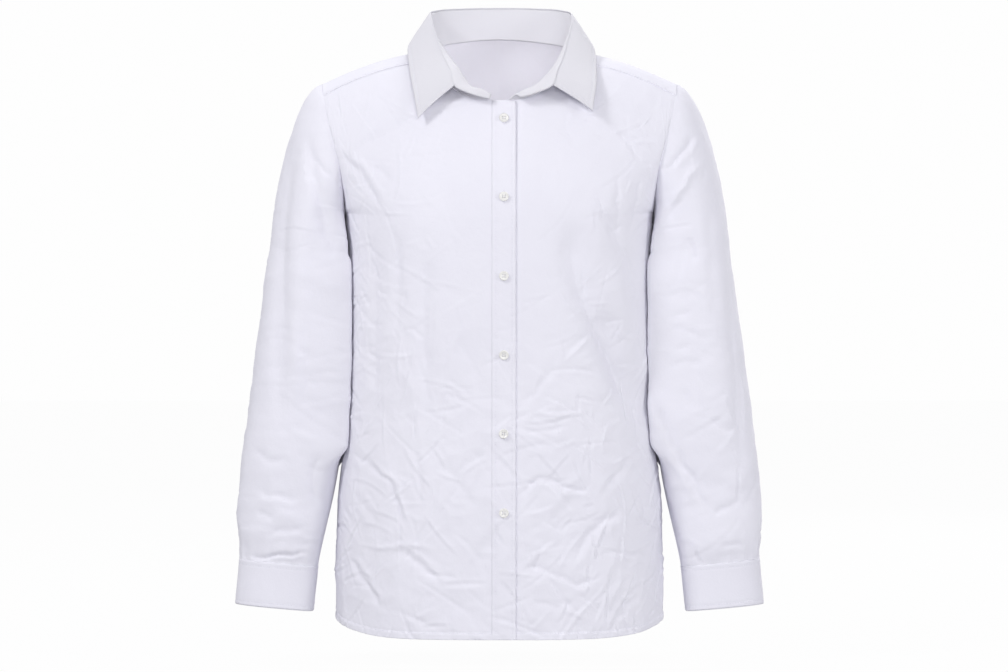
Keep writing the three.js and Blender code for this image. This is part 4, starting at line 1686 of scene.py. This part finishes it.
def hem_fold(rise: Array, along: Array) -> Array:
    """Gives the narrow hem, turned twice and stitched, which puckers a little.

    Args:
        rise: How far above the edge each place is, in mm.
        along: How far along the hem.

    Returns:
        How far the cloth stands out.
    """
    turned = HEM_STEP * (1 - smooth(rise, HEM_WIDTH - 0.6, HEM_WIDTH + 1.4))
    seam = HEM_DIP * hill(rise, HEM_WIDTH + 0.4, 1.5)
    pucker = noise(np.stack([along / 7 + rise / 9, rise / 14], -1), 77)
    return turned - seam + HEM_PUCKER * pucker * hill(rise, 6, 9)


@dataclass(frozen=True)
class TurnedEdge:
    """A turned edge with a row of stitches beside it, in mm.

    Attributes:
        drop: How far the edge itself lies back.
        roll: How wide the rounding is.
        dip: How far the stitches pull the cloth in.
        line: How far from the edge that is.
        pull: How wide the dip is.
    """

    drop: float
    roll: float
    dip: float
    line: float
    pull: float

    def relief(self, edge: Array, share: Array | float = 1.0) -> Array:
        """Gives how far the cloth stands out, this far from an edge that drops by a share."""
        drop = self.drop * (1 - smooth(edge, 0, self.roll)) * share
        return -drop - self.dip * hill(edge, self.line, self.pull)


@dataclass(frozen=True)
class Gathers:
    """Small folds that run out from a seam, in mm.

    Attributes:
        count: About how many there are round the seam.
        length: How long they are.
        height: How high.
        reach: Where they have mostly gone.
        start: Where they are first at their full height.
        seed: Picks the pattern.
    """

    count: float
    length: float
    height: float
    reach: float
    start: float
    seed: int

    def relief(self, u: Array, away: Array, shift: int) -> Array:
        """Gives how far the cloth stands out.

        Args:
            u: Shares of the way along the seam.
            away: How far from the seam each place is.
            shift: Gives another pattern.

        Returns:
            The distance.
        """
        folds = noise(np.stack([u * self.count, away / self.length], -1), self.seed + shift)
        return self.height * folds * hill(away, 0, self.reach) * smooth(away, 0, self.start)


@dataclass
class Panel:
    """A piece that is cut from the cloth.

    Attributes:
        across: Divisions across it.
        up: Divisions up it.
        flat: The width and length that it was cut to, in metres.
        area: The cut's area, in square metres.
    """

    across: int
    up: int
    flat: Pair
    area: float


@dataclass
class Fronts(Panel):
    """The two fronts and the band with its buttonholes.

    Attributes:
        band_flat: The cut of the band, in metres.
        band_edge: The band's edges.
        fold_lift: The share of its lift that the band has along its inner edge.
        fold_drop: The share of its drop that the inner edge has.
        ripple: How the band's edges ripple: height, length, width and reach, in mm.
        stitched: How far inside the band's edges its stitches run, in mm.
    """

    across: int = 150
    up: int = 322
    flat: Pair = (0.32, 0.69)
    area: float = 0.19
    band_flat: Pair = (0.03, 0.64)
    band_edge: TurnedEdge = TurnedEdge(0.55, 2.2, 0.22, 5.2, 1.1)
    fold_lift: float = 0.45
    fold_drop: float = 0.3
    ripple: tuple[float, float, float, float] = (0.35, 9, 15, 6)
    stitched: float = 5.0

    def build(self, room: Workroom) -> Cloth:
        """Builds the fronts and the band.

        Args:
            room: What they are made with.

        Returns:
            The band's cloth, which the buttons are sewn on.
        """
        up = spread(self.up, [(0.0, 0.02, 2.6)])
        for name, face, free in (("right", right_front, 1.0), ("left", left_front, 0.0)):
            cloth = lay_out(face, spread(self.across, [(free, 0.03, 1.5)]), up)
            seam = smooth(np.abs(cloth.u - (1 - free)), 0, SEAM_REACH)
            top = 1 - smooth(cloth.v, 0.97, 1)
            relief = front_relief(cloth.place, cloth.normal) * seam * lerp(0.25, 1, top)
            cloth.move_out(relief + hem_fold(cloth.flat[..., 1], cloth.flat[..., 0]))
            room.hand_over(f"{name}_front", cloth)
            room.thread.sew_level(cloth, HEM_WIDTH, (0.01, 0.99), 120)
        return self.band(room)

    def band(self, room: Workroom) -> Cloth:
        """Builds the band.

        Args:
            room: What it is made with.

        Returns:
            Its cloth.
        """
        band = lay_out(band_face, even(15), spread(250, [(0.0, 0.02, 2)]))
        edge = np.minimum(band.u, 1 - band.u) * BAND_WIDTH
        relief = front_relief(band.place, band.normal)
        relief += LAP * lerp(self.fold_lift, 1, smooth(band.u, 0, 0.3))
        drop = lerp(self.fold_drop, 1, smooth(band.u, 0.2, 0.8))
        relief += self.band_edge.relief(edge, drop)
        height, length, width, reach = self.ripple
        waves = noise(np.stack([band.flat[..., 1] / length, band.flat[..., 0] / width], -1), 31)
        band.move_out(relief + height * waves * hill(edge, 0, reach))
        room.hand_over("front_band", band)
        inset = self.stitched / BAND_WIDTH
        for share in (inset, 1 - inset):
            room.thread.sew(band, share, np.linspace(0.004, 0.996, 300))
        return band


@dataclass
class Back(Panel):
    """The back, from side seam to side seam, up to the yoke."""

    across: int = 170
    up: int = 190
    flat: Pair = (0.6, 0.64)
    area: float = 0.34

    def build(self, room: Workroom) -> None:
        """Builds the back.

        Args:
            room: What it is made with.
        """
        cloth = lay_out(back_point, even(self.across), spread(self.up, [(0, 0.02, 2.4)]))
        x, z = cloth.place[..., 0], cloth.place[..., 2]
        seam = smooth(np.minimum(cloth.u, 1 - cloth.u), 0, 0.02)
        top = 1 - smooth(cloth.v, 0.96, 1)
        creases = pressed(BACK_CREASES, x, z) * smooth(cloth.normal[..., 1], 0.05, 0.4)
        relief = (body_wrinkles(cloth.place, BACK_SEED) - creases) * seam * lerp(0.2, 1, top)
        cloth.move_out(relief + hem_fold(cloth.flat[..., 1], cloth.flat[..., 0]))
        room.hand_over("back", cloth)
        room.thread.sew_level(cloth, HEM_WIDTH, (0.005, 0.995), 240)


@dataclass
class Yoke(Panel):
    """The yoke over the shoulders, whose front seams lie just below them.

    Attributes:
        lift: How far it stands out from the panels that it laps over, in mm.
        edge: Its edges.
        stitched: How far inside its seams the stitches run, in mm.
    """

    across: int = 190
    up: int = 46
    flat: Pair = (0.47, 0.2)
    area: float = 0.066
    lift: float = 0.95
    edge: TurnedEdge = TurnedEdge(0.5, 1.6, 0.25, 3.6, 1.2)
    stitched: float = 3.4

    def build(self, room: Workroom) -> None:
        """Builds the yoke.

        Args:
            room: What it is made with.
        """
        up = spread(self.up, [(0, 0.06, 2), (1, 0.06, 2)])
        cloth = lay_out(yoke_point, even(self.across), up)
        rise = cloth.flat[..., 1]
        edge = np.minimum(rise, rise[-1:, :] - rise)
        relief = self.lift + self.edge.relief(edge) + crushed(YOKE_CRUSH, cloth.flat)
        cloth.move_out(relief)
        room.hand_over("yoke", cloth)
        shoulder = (1 - YOKE_NECK_AT) / 2 - 0.006
        for ends in ((0.01, shoulder), (1 - shoulder, 0.99)):
            room.thread.sew_level(cloth, self.stitched, ends, 90)
        room.thread.sew_level(cloth, rise[-1] - self.stitched, (0.01, 0.99), 260)


@dataclass
class Collar:
    """The stand and the fall, worn open, with the roll that joins them.

    Attributes:
        across: Divisions along either.
        stand_up: Divisions up the stand.
        fall_up: Divisions up the fall.
        stand_flat: The stand's cut, in metres.
        stand_area: Its area, in square metres.
        fall_flat: The fall's cut.
        fall_area: Its area.
        edge: The fall's edges.
        stitched: How far inside them the stitches run, in mm.
    """

    across: int = 190
    stand_up: int = 22
    fall_up: int = 40
    stand_flat: Pair = (0.47, 0.04)
    stand_area: float = 0.0165
    fall_flat: Pair = (0.46, 0.07)
    fall_area: float = 0.025
    edge: TurnedEdge = TurnedEdge(0.5, 2.0, 0.28, 5.4, 1.3)
    stitched: float = 5.2

    def build(self, room: Workroom) -> None:
        """Builds the collar.

        Args:
            room: What it is made with.
        """
        stand = lay_out(stand_point, even(self.across), even(self.stand_up))
        middle = smooth(stand.v, 0, 0.2) * (1 - smooth(stand.v, 0.8, 1))
        stand.move_out(STAND_CRUSH.relief(stand.flat) * middle)
        room.hand_over("collar_stand", stand)
        fall = lay_out(
            fall_point,
            spread(self.across, [(0, 0.02, 2.5), (1, 0.02, 2.5)]),
            spread(self.fall_up, [(0, 0.08, 1.8), (LEAF_V, 0.1, 2.6)]),
        )
        edge = np.minimum(fall.flat[..., 1], np.minimum(fall.u, 1 - fall.u) * LEAF_LENGTH)
        leaf = 1 - smooth(fall.v, 0.75, LEAF_V)
        fall.move_out((FALL_CRUSH.relief(fall.flat) + self.edge.relief(edge)) * leaf)
        room.hand_over("collar_fall", fall)
        self.stitch(room.thread, fall)

    def stitch(self, thread: Thread, fall: Cloth) -> None:
        """Sews the line inside the fall's edges.

        Args:
            thread: The stitches.
            fall: The fall's cloth.
        """
        inset = self.stitched / LEAF_LENGTH
        u = np.linspace(inset, 1 - inset, 300)
        low = np.interp(u, fall.u[0], fall.shares_at(self.stitched))
        thread.sew(fall, u, low)
        for side, start in ((inset, low[0]), (1 - inset, low[-1])):
            thread.sew(fall, side, np.linspace(start, LEAF_V * 0.97, 60))


@dataclass
class Sleeves(Panel):
    """The sleeves, their openings' strips and the cuffs.

    Attributes:
        cuff_flat: A cuff's cut, in metres.
        slit_flat: A strip's cut, in metres.
        gathers: The folds that run up from the cuff.
        eased: The fullness that is eased in along the armhole.
        cuff_edge: A cuff's edges.
        top_crush: The share of its crumple that a sleeve has at the top.
        strip_crush: The share of the sleeve's crumple that its strip takes over.
    """

    across: int = 150
    up: int = 196
    flat: Pair = (0.42, 0.6)
    area: float = 0.175
    cuff_flat: Pair = (0.235, 0.055)
    slit_flat: Pair = (0.022, 0.117)
    gathers: Gathers = Gathers(34, 90, 1.9, 26, 5, 7)
    eased: Gathers = Gathers(44, 60, 1.1, 16, 4, 17)
    cuff_edge: TurnedEdge = TurnedEdge(0.45, 1.8, 0.28, 5.6, 1.3)
    top_crush: float = 0.6
    strip_crush: float = 0.4

    def build(self, room: Workroom) -> dict[str, Cloth]:
        """Builds both sleeves and cuffs.

        Args:
            room: What they are made with.

        Returns:
            The cuffs' cloth, which the buttons are sewn on.
        """
        cuffs = {}
        for name, side in (("right", -1), ("left", 1)):
            self.sleeve(room, name, side)
            cuffs[name] = self.cuff(room, name, side)
        return cuffs

    def sleeve(self, room: Workroom, name: str, side: int) -> None:
        """Builds one sleeve and its opening's strip.

        Args:
            room: What it is made with.
            name: Which sleeve.
            side: -1 for the wearer's right and 1 for the left.
        """
        up = spread(self.up, [(0, 0.02, 2.2), (1, 0.02, 1.8)])
        cloth = lay_out(lambda u, v: sleeve_point(side, u, v), even(self.across), up)
        seam = smooth(np.minimum(cloth.u, 1 - cloth.u), 0, 0.15)
        rise = cloth.flat[..., 1]
        below = rise[-1:, :] - rise
        relief = self.relief(cloth, side) * smooth(rise, 0, 9) * smooth(below, 0, 7)
        relief += self.gathers.relief(cloth.u, rise, side)
        relief += self.eased.relief(cloth.u, below, side)
        cloth.move_out(relief * seam)
        room.hand_over(f"{name}_sleeve", cloth, ring=True)
        strip = lay_out(lambda u, v: slit_point(side, u, v), even(12), even(60))
        strip.move_out(self.relief(strip, side) * self.strip_crush + SLIT_LIFT)
        room.hand_over(f"{name}_sleeve_placket", strip)
        for share in (0.08, 0.92):
            room.thread.sew(strip, share, np.linspace(0.02, 0.98, 60))

    def relief(self, cloth: Cloth, side: int) -> Array:
        """Gives the creases and the crumple of a sleeve.

        Args:
            cloth: The sleeve's cloth before it is crumpled, or its strip's.
            side: -1 for the wearer's right and 1 for the left.

        Returns:
            How far the cloth stands out.
        """
        x, y, z = (cloth.place[..., i] for i in range(3))
        forward = -cloth.normal[..., 1]
        front = pressed(RIGHT_SLEEVE_CREASES if side < 0 else LEFT_SLEEVE_CREASES, x, z)
        back = pressed(SLEEVE_BACK_CREASES, x * side, z)
        creases = front * smooth(forward, 0, 0.35) + back * smooth(-forward, 0, 0.35)
        rough = crushed(SLEEVE_CRUSH, np.stack([x * 0.6 + y * 0.9, z], -1), side)
        return rough * lerp(self.top_crush, 1.0, smooth(-z, 200, 560)) - creases

    def cuff(self, room: Workroom, name: str, side: int) -> Cloth:
        """Builds one cuff.

        Args:
            room: What it is made with.
            name: Which cuff.
            side: -1 for the wearer's right and 1 for the left.

        Returns:
            The cuff's cloth.
        """
        cloth = lay_out(lambda u, v: cuff_point(side, u, v), even(150), even(30))
        rise = cloth.flat[..., 1]
        edge = np.minimum(rise, rise[-1:, :] - rise)
        middle = smooth(cloth.v, 0, 0.25) * (1 - smooth(cloth.v, 0.75, 1))
        cloth.move_out(CUFF_CRUSH.relief(cloth.flat, side) * middle + self.cuff_edge.relief(edge))
        room.hand_over(f"{name}_cuff", cloth)
        for share in (0.1, 0.9):
            room.thread.sew(cloth, np.linspace(0.03, 0.97, 160), share)
        for share in (0.02, 0.98):
            room.thread.sew(cloth, share, np.linspace(0.1, 0.9, 30))
        return cloth


@dataclass
class Buttons:
    """Four-hole buttons with a raised rim, sewn on, and the buttonholes under them.

    Attributes:
        finish: Their material.
        profile: The half section, out from the middle and up from the back, in mm.
        hole: Each hole's radius, in mm.
        reach: How far a hole stands from the middle, across and up, in mm.
        turns: How many sides the turned button has.
        lift: How far its back stands off the cloth, in mm.
        thread: How thick the thread in its holes is, in mm.
        slit: Half a buttonhole's length, the step between two stitches, half a stitch's length
            and the thread's thickness, in mm.
    """

    finish: bpy.types.Material
    profile: tuple[Pair, ...] = (
        (0.0, 1.7),
        (3.2, 1.75),
        (3.9, 1.9),
        (4.4, 2.2),
        (4.9, 2.3),
        (5.35, 2.15),
        (5.7, 1.7),
        (5.7, 1.2),
        (5.2, 0.4),
        (4.2, 0.0),
        (0.0, 0.0),
    )
    hole: float = 0.62
    reach: float = 1.3
    turns: int = 40
    lift: float = 0.35
    thread: float = 0.42
    slit: tuple[float, float, float, float] = (7.0, 0.75, 1.2, 0.55)

    def turned(self) -> bpy.types.Mesh:
        """Turns a button and drills its holes.

        Returns:
            The mesh, in mm, with its back on the ground plane.
        """
        bm = bmesh.new()
        section = [bm.verts.new((across, 0, up)) for across, up in self.profile]
        edges = [bm.edges.new(pair) for pair in zip(section[:-1], section[1:])]
        bmesh.ops.spin(
            bm,
            geom=section + edges,
            cent=(0, 0, 0),
            axis=(0, 0, 1),
            angle=2 * math.pi,
            steps=self.turns,
            use_merge=True,
        )
        bmesh.ops.remove_doubles(bm, verts=bm.verts, dist=1e-4)
        bmesh.ops.recalc_face_normals(bm, faces=bm.faces)
        blank = put_in("blank", mesh_of(bm, "blank"))
        drill = bmesh.new()
        for x in (-self.reach, self.reach):
            for y in (-self.reach, self.reach):
                bmesh.ops.create_cone(
                    drill,
                    cap_ends=True,
                    segments=14,
                    radius1=self.hole,
                    radius2=self.hole,
                    depth=6,
                    matrix=Matrix.Translation((x, y, 1)),
                )
        drills = put_in("drills", mesh_of(drill, "drills"))
        cut = blank.modifiers.new("Holes", "BOOLEAN")
        cut.operation = "DIFFERENCE"
        cut.solver = "EXACT"
        cut.object = drills
        bpy.context.view_layer.update()
        ready = blank.evaluated_get(bpy.context.evaluated_depsgraph_get())
        mesh = bpy.data.meshes.new_from_object(ready)
        for scrap in (blank, drills):
            bpy.data.objects.remove(scrap, do_unlink=True)
        return mesh

    def sew_on(
        self, node: str, master: bpy.types.Mesh, cloth: Cloth, at: Pair, thread: Thread
    ) -> None:
        """Sews one button on.

        Args:
            node: The frame's button that it stands for.
            master: The turned button.
            cloth: What it closes.
            at: Its place on the cloth, across and up.
            thread: The stitches.
        """
        place, normal = cloth.at(np.array([at[0]]), np.array([at[1]]))
        above, _ = cloth.at(np.array([at[0]]), np.array([min(at[1] + 0.02, 1.0)]))
        out = Vector(normal[0])
        up = (Vector(above[0]) - Vector(place[0])).normalized()
        side = up.cross(out).normalized()
        turn = Matrix((side, out.cross(side), out)).transposed().to_4x4()
        move = Matrix.Translation(Vector(place[0]) + out * self.lift) @ turn
        mesh = master.copy()
        mesh.transform(Matrix.Scale(MM, 4) @ move)
        mesh.shade_smooth()
        piece = put_in(f"{node}_resin", mesh)
        rims = piece.modifiers.new("Rims", "BEVEL")
        rims.width, rims.segments, rims.angle_limit = 0.12 * MM, 1, math.radians(50)
        dress(piece, self.finish)
        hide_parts(node)
        for x in (-self.reach, self.reach):
            for shift in (-0.22, 0.22):
                ends = [move @ Vector((x + shift, y * self.reach, 1.75)) for y in (-1, 1)]
                thread.stitch(*ends, out, self.thread)
        log.info("%s: sewn on", piece.name)

    def buttonhole(self, cloth: Cloth, at: Pair, thread: Thread, upright: bool) -> None:
        """Whips a buttonhole's edges with close stitches across it.

        Args:
            cloth: The cloth that it is cut in.
            at: Its middle, across and up.
            thread: The stitches.
            upright: Whether it runs up the cloth, or across it.
        """
        half, step, reach, thick = self.slit
        wide, high = cloth.flat[0, -1, 0] - cloth.flat[0, 0, 0], cloth.flat[-1, 0, 1]
        for run in np.arange(-half, half + 0.01, step):
            ends = []
            for aside in (-reach, reach):
                across, up = (aside, run) if upright else (run, aside)
                place, normal = cloth.at(
                    np.array([at[0] + across / wide]), np.array([at[1] + up / high])
                )
                ends.append(Vector(place[0]))
            thread.stitch(*ends, Vector(normal[0]), thick)


# ---- The studio, in metres ----

SHIRT_MIDDLE = -0.33  # the height that the lights are aimed at


@dataclass(frozen=True)
class Softbox:
    """A soft light.

    Attributes:
        name: What it is called.
        place: Where it stands, in metres.
        size: Its width and height.
        watts: Its power.
        colour: Its colour.
    """

    name: str
    place: tuple[float, float, float]
    size: tuple[float, float]
    watts: float
    colour: str = "#ffffff"

    def stand(self) -> None:
        """Sets the light up, facing the shirt."""
        lamp = bpy.data.lights.new(self.name, "AREA")
        lamp.shape = "RECTANGLE"
        lamp.size, lamp.size_y = self.size
        lamp.energy = self.watts
        lamp.color = linear(self.colour)[:3]
        light = put_in(self.name, lamp)
        light.location = self.place
        aim = Vector((0, 0, SHIRT_MIDDLE)) - Vector(self.place)
        light.rotation_euler = aim.to_track_quat("-Z", "Y").to_euler()


@dataclass(frozen=True)
class Studio:
    """A white floor that runs out into a white room, soft lights and the camera.

    Attributes:
        floor_z: The floor's height.
        floor_size: Its width.
        view_height: The camera's height.
        view_x: How far aside it stands.
        distance: How far in front.
        frame_width: How wide its view is at the shirt.
        sensor: The width of its sensor, in mm.
        room_light: How strongly the room lights the shirt.
        room_colour: The colour of that light.
        wall_light: How light the wall looks.
        floor_light: How much the paper glows, so that under the lamps it matches the wall.
        paper: The paper's darkest and lightest colours.
        glow_watts: The power of the light inside the shirt.
        glow_radius: Its size.
        glow_place: Where it is.
        glow_colour: Its colour.
        boxes: The soft lights.
    """

    floor_z: float = -0.722
    floor_size: float = 40.0
    view_height: float = -0.335
    view_x: float = 0.0054
    distance: float = 5.0
    frame_width: float = 1.2096
    sensor: float = 36.0
    room_light: float = 0.485
    room_colour: str = "#fbfbff"
    wall_light: float = 0.99
    floor_light: float = 0.972
    paper: tuple[str, str] = ("#212122", "#232324")
    glow_watts: float = 0.36
    glow_radius: float = 0.07
    glow_place: tuple[float, float, float] = (0, -0.01, -0.2)
    glow_colour: str = "#fffdf0"
    boxes: tuple[Softbox, ...] = (
        Softbox("key_softbox", (-2.4, -1.9, 1.9), (0.8, 0.8), 48),
        Softbox("front_softbox", (0.6, -4.2, 0.2), (1.6, 1.6), 48.5),
        Softbox("top_softbox", (0.0, 1.6, 2.6), (2.0, 1.0), 40),
        Softbox("back_softbox", (1.9, 3.4, 1.0), (1.6, 1.6), 46),
        Softbox("side_softbox", (3.0, -1.9, 0.5), (1.0, 1.0), 25),
    )

    def build(self) -> None:
        """Builds the floor, the lights, the room and the camera."""
        for box in self.boxes:
            box.stand()
        self.light_inside()
        self.lay_floor()
        self.light_room()
        self.point_camera()

    def light_inside(self) -> None:
        """Puts a soft glow inside the shirt, as white cloth lets light through from all sides."""
        lamp = bpy.data.lights.new("inside_glow", "POINT")
        lamp.energy = self.glow_watts
        lamp.color = linear(self.glow_colour)[:3]
        lamp.shadow_soft_size = self.glow_radius
        light = put_in("inside_glow", lamp)
        light.location = self.glow_place
        light.visible_camera = False

    def lay_floor(self) -> None:
        """Lays the floor."""
        bm = bmesh.new()
        bmesh.ops.create_grid(
            bm,
            x_segments=8,
            y_segments=8,
            size=self.floor_size / 2,
            matrix=Matrix.Translation((0, 0, self.floor_z)),
        )
        floor = put_in("floor", mesh_of(bm, "floor"))
        material, tree = new_material("white_studio_paper")
        grain = add_node(
            tree, "ShaderNodeTexNoise", inputs={"Scale": per_metre(500), "Detail": 1.0}
        )
        low, high = (linear(colour) for colour in self.paper)
        paper = add_node(
            tree,
            "ShaderNodeMix",
            {"data_type": "RGBA"},
            {"Factor": grain.outputs["Fac"], 6: low, 7: high},
        )
        shader = add_node(
            tree,
            "ShaderNodeBsdfPrincipled",
            inputs={
                "Base Color": paper.outputs[2],
                "Roughness": 0.9,
                "Specular IOR Level": 0.0,
                "Emission Color": linear("#ffffff"),
                "Emission Strength": self.floor_light,
            },
        )
        add_node(tree, "ShaderNodeOutputMaterial", inputs={"Surface": shader.outputs["BSDF"]})
        floor.data.materials.append(material)
        floor.visible_diffuse = False

    def light_room(self) -> None:
        """Fills the room with even light, whose walls look white."""
        world = bpy.data.worlds.new("white_room")
        bpy.context.scene.world = world
        world.use_nodes = True
        tree = world.node_tree
        tree.nodes.clear()
        path = add_node(tree, "ShaderNodeLightPath")
        fill = add_node(
            tree,
            "ShaderNodeBackground",
            inputs={"Color": linear(self.room_colour), "Strength": self.room_light},
        )
        wall = add_node(
            tree,
            "ShaderNodeBackground",
            inputs={"Color": linear("#ffffff"), "Strength": self.wall_light},
        )
        mixed = add_node(
            tree,
            "ShaderNodeMixShader",
            inputs={
                0: path.outputs["Is Camera Ray"],
                1: fill.outputs["Background"],
                2: wall.outputs["Background"],
            },
        )
        add_node(tree, "ShaderNodeOutputWorld", inputs={"Surface": mixed.outputs["Shader"]})
        bpy.context.scene.view_settings.view_transform = "Standard"

    def point_camera(self) -> None:
        """Points the camera straight at the front."""
        lens = bpy.data.cameras.new("camera")
        lens.sensor_width = self.sensor
        lens.lens = self.sensor * self.distance / self.frame_width
        lens.clip_end = 100
        camera = put_in("camera", lens)
        camera.location = (self.view_x, -self.distance, self.view_height)
        camera.rotation_euler = (math.pi / 2, 0, 0)
        bpy.context.scene.camera = camera


def fasten(room: Workroom, band: Cloth, cuffs: dict[str, Cloth]) -> None:
    """Sews the buttons on and whips the buttonholes.

    Args:
        room: The workroom.
        band: The band's cloth.
        cuffs: The cuffs' cloth.
    """
    buttons = Buttons(CastResin().make())
    master = buttons.turned()
    middle = band.place.shape[1] // 2
    for i in range(1, BUTTON_COUNT + 1):
        node = f"front_button_{i}"
        low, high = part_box(node)
        height = (low[2] + high[2]) / 2 / MM
        at = (0.5, float(np.interp(height, band.place[:, middle, 2], band.v[:, 0])))
        buttons.buttonhole(band, at, room.thread, upright=True)
        buttons.sew_on(node, master, band, at, room.thread)
    for name, cuff in cuffs.items():
        lap = 1 - CUFF_LAP * 0.55 / (1 + CUFF_LAP)
        at = (lap if name == "left" else 1 - lap, 0.5)
        buttons.buttonhole(cuff, at, room.thread, upright=False)
        buttons.sew_on(f"{name}_cuff_button", master, cuff, at, room.thread)


def main() -> None:
    """Builds the shirt and the studio, and reports each piece."""
    logging.basicConfig(level=logging.INFO, format="%(name)s %(message)s")
    Studio().build()
    room = Workroom(
        Poplin("bleached_cotton_poplin").make(),
        Poplin("interlined_cotton_poplin", "#eae9f2", "#e3e2ec", wrinkle=0.25).make(),
        # The collar's poplin is a darker copy of the panels' one: its lower tone is painted shade.
        Poplin("fused_collar_poplin_painted_shade", "#e1e0e6", "#dad9e0", wrinkle=0.25).make(),
    )
    band = Fronts().build(room)
    Back().build(room)
    Yoke().build(room)
    Collar().build(room)
    cuffs = Sleeves().build(room)
    fasten(room, band, cuffs)
    stitches = room.thread.finish("lockstitch")
    dress(stitches, SpunPolyester().make())
    log.info("lockstitch: %d faces", len(stitches.data.polygons))


if __name__ == "__main__":
    main()
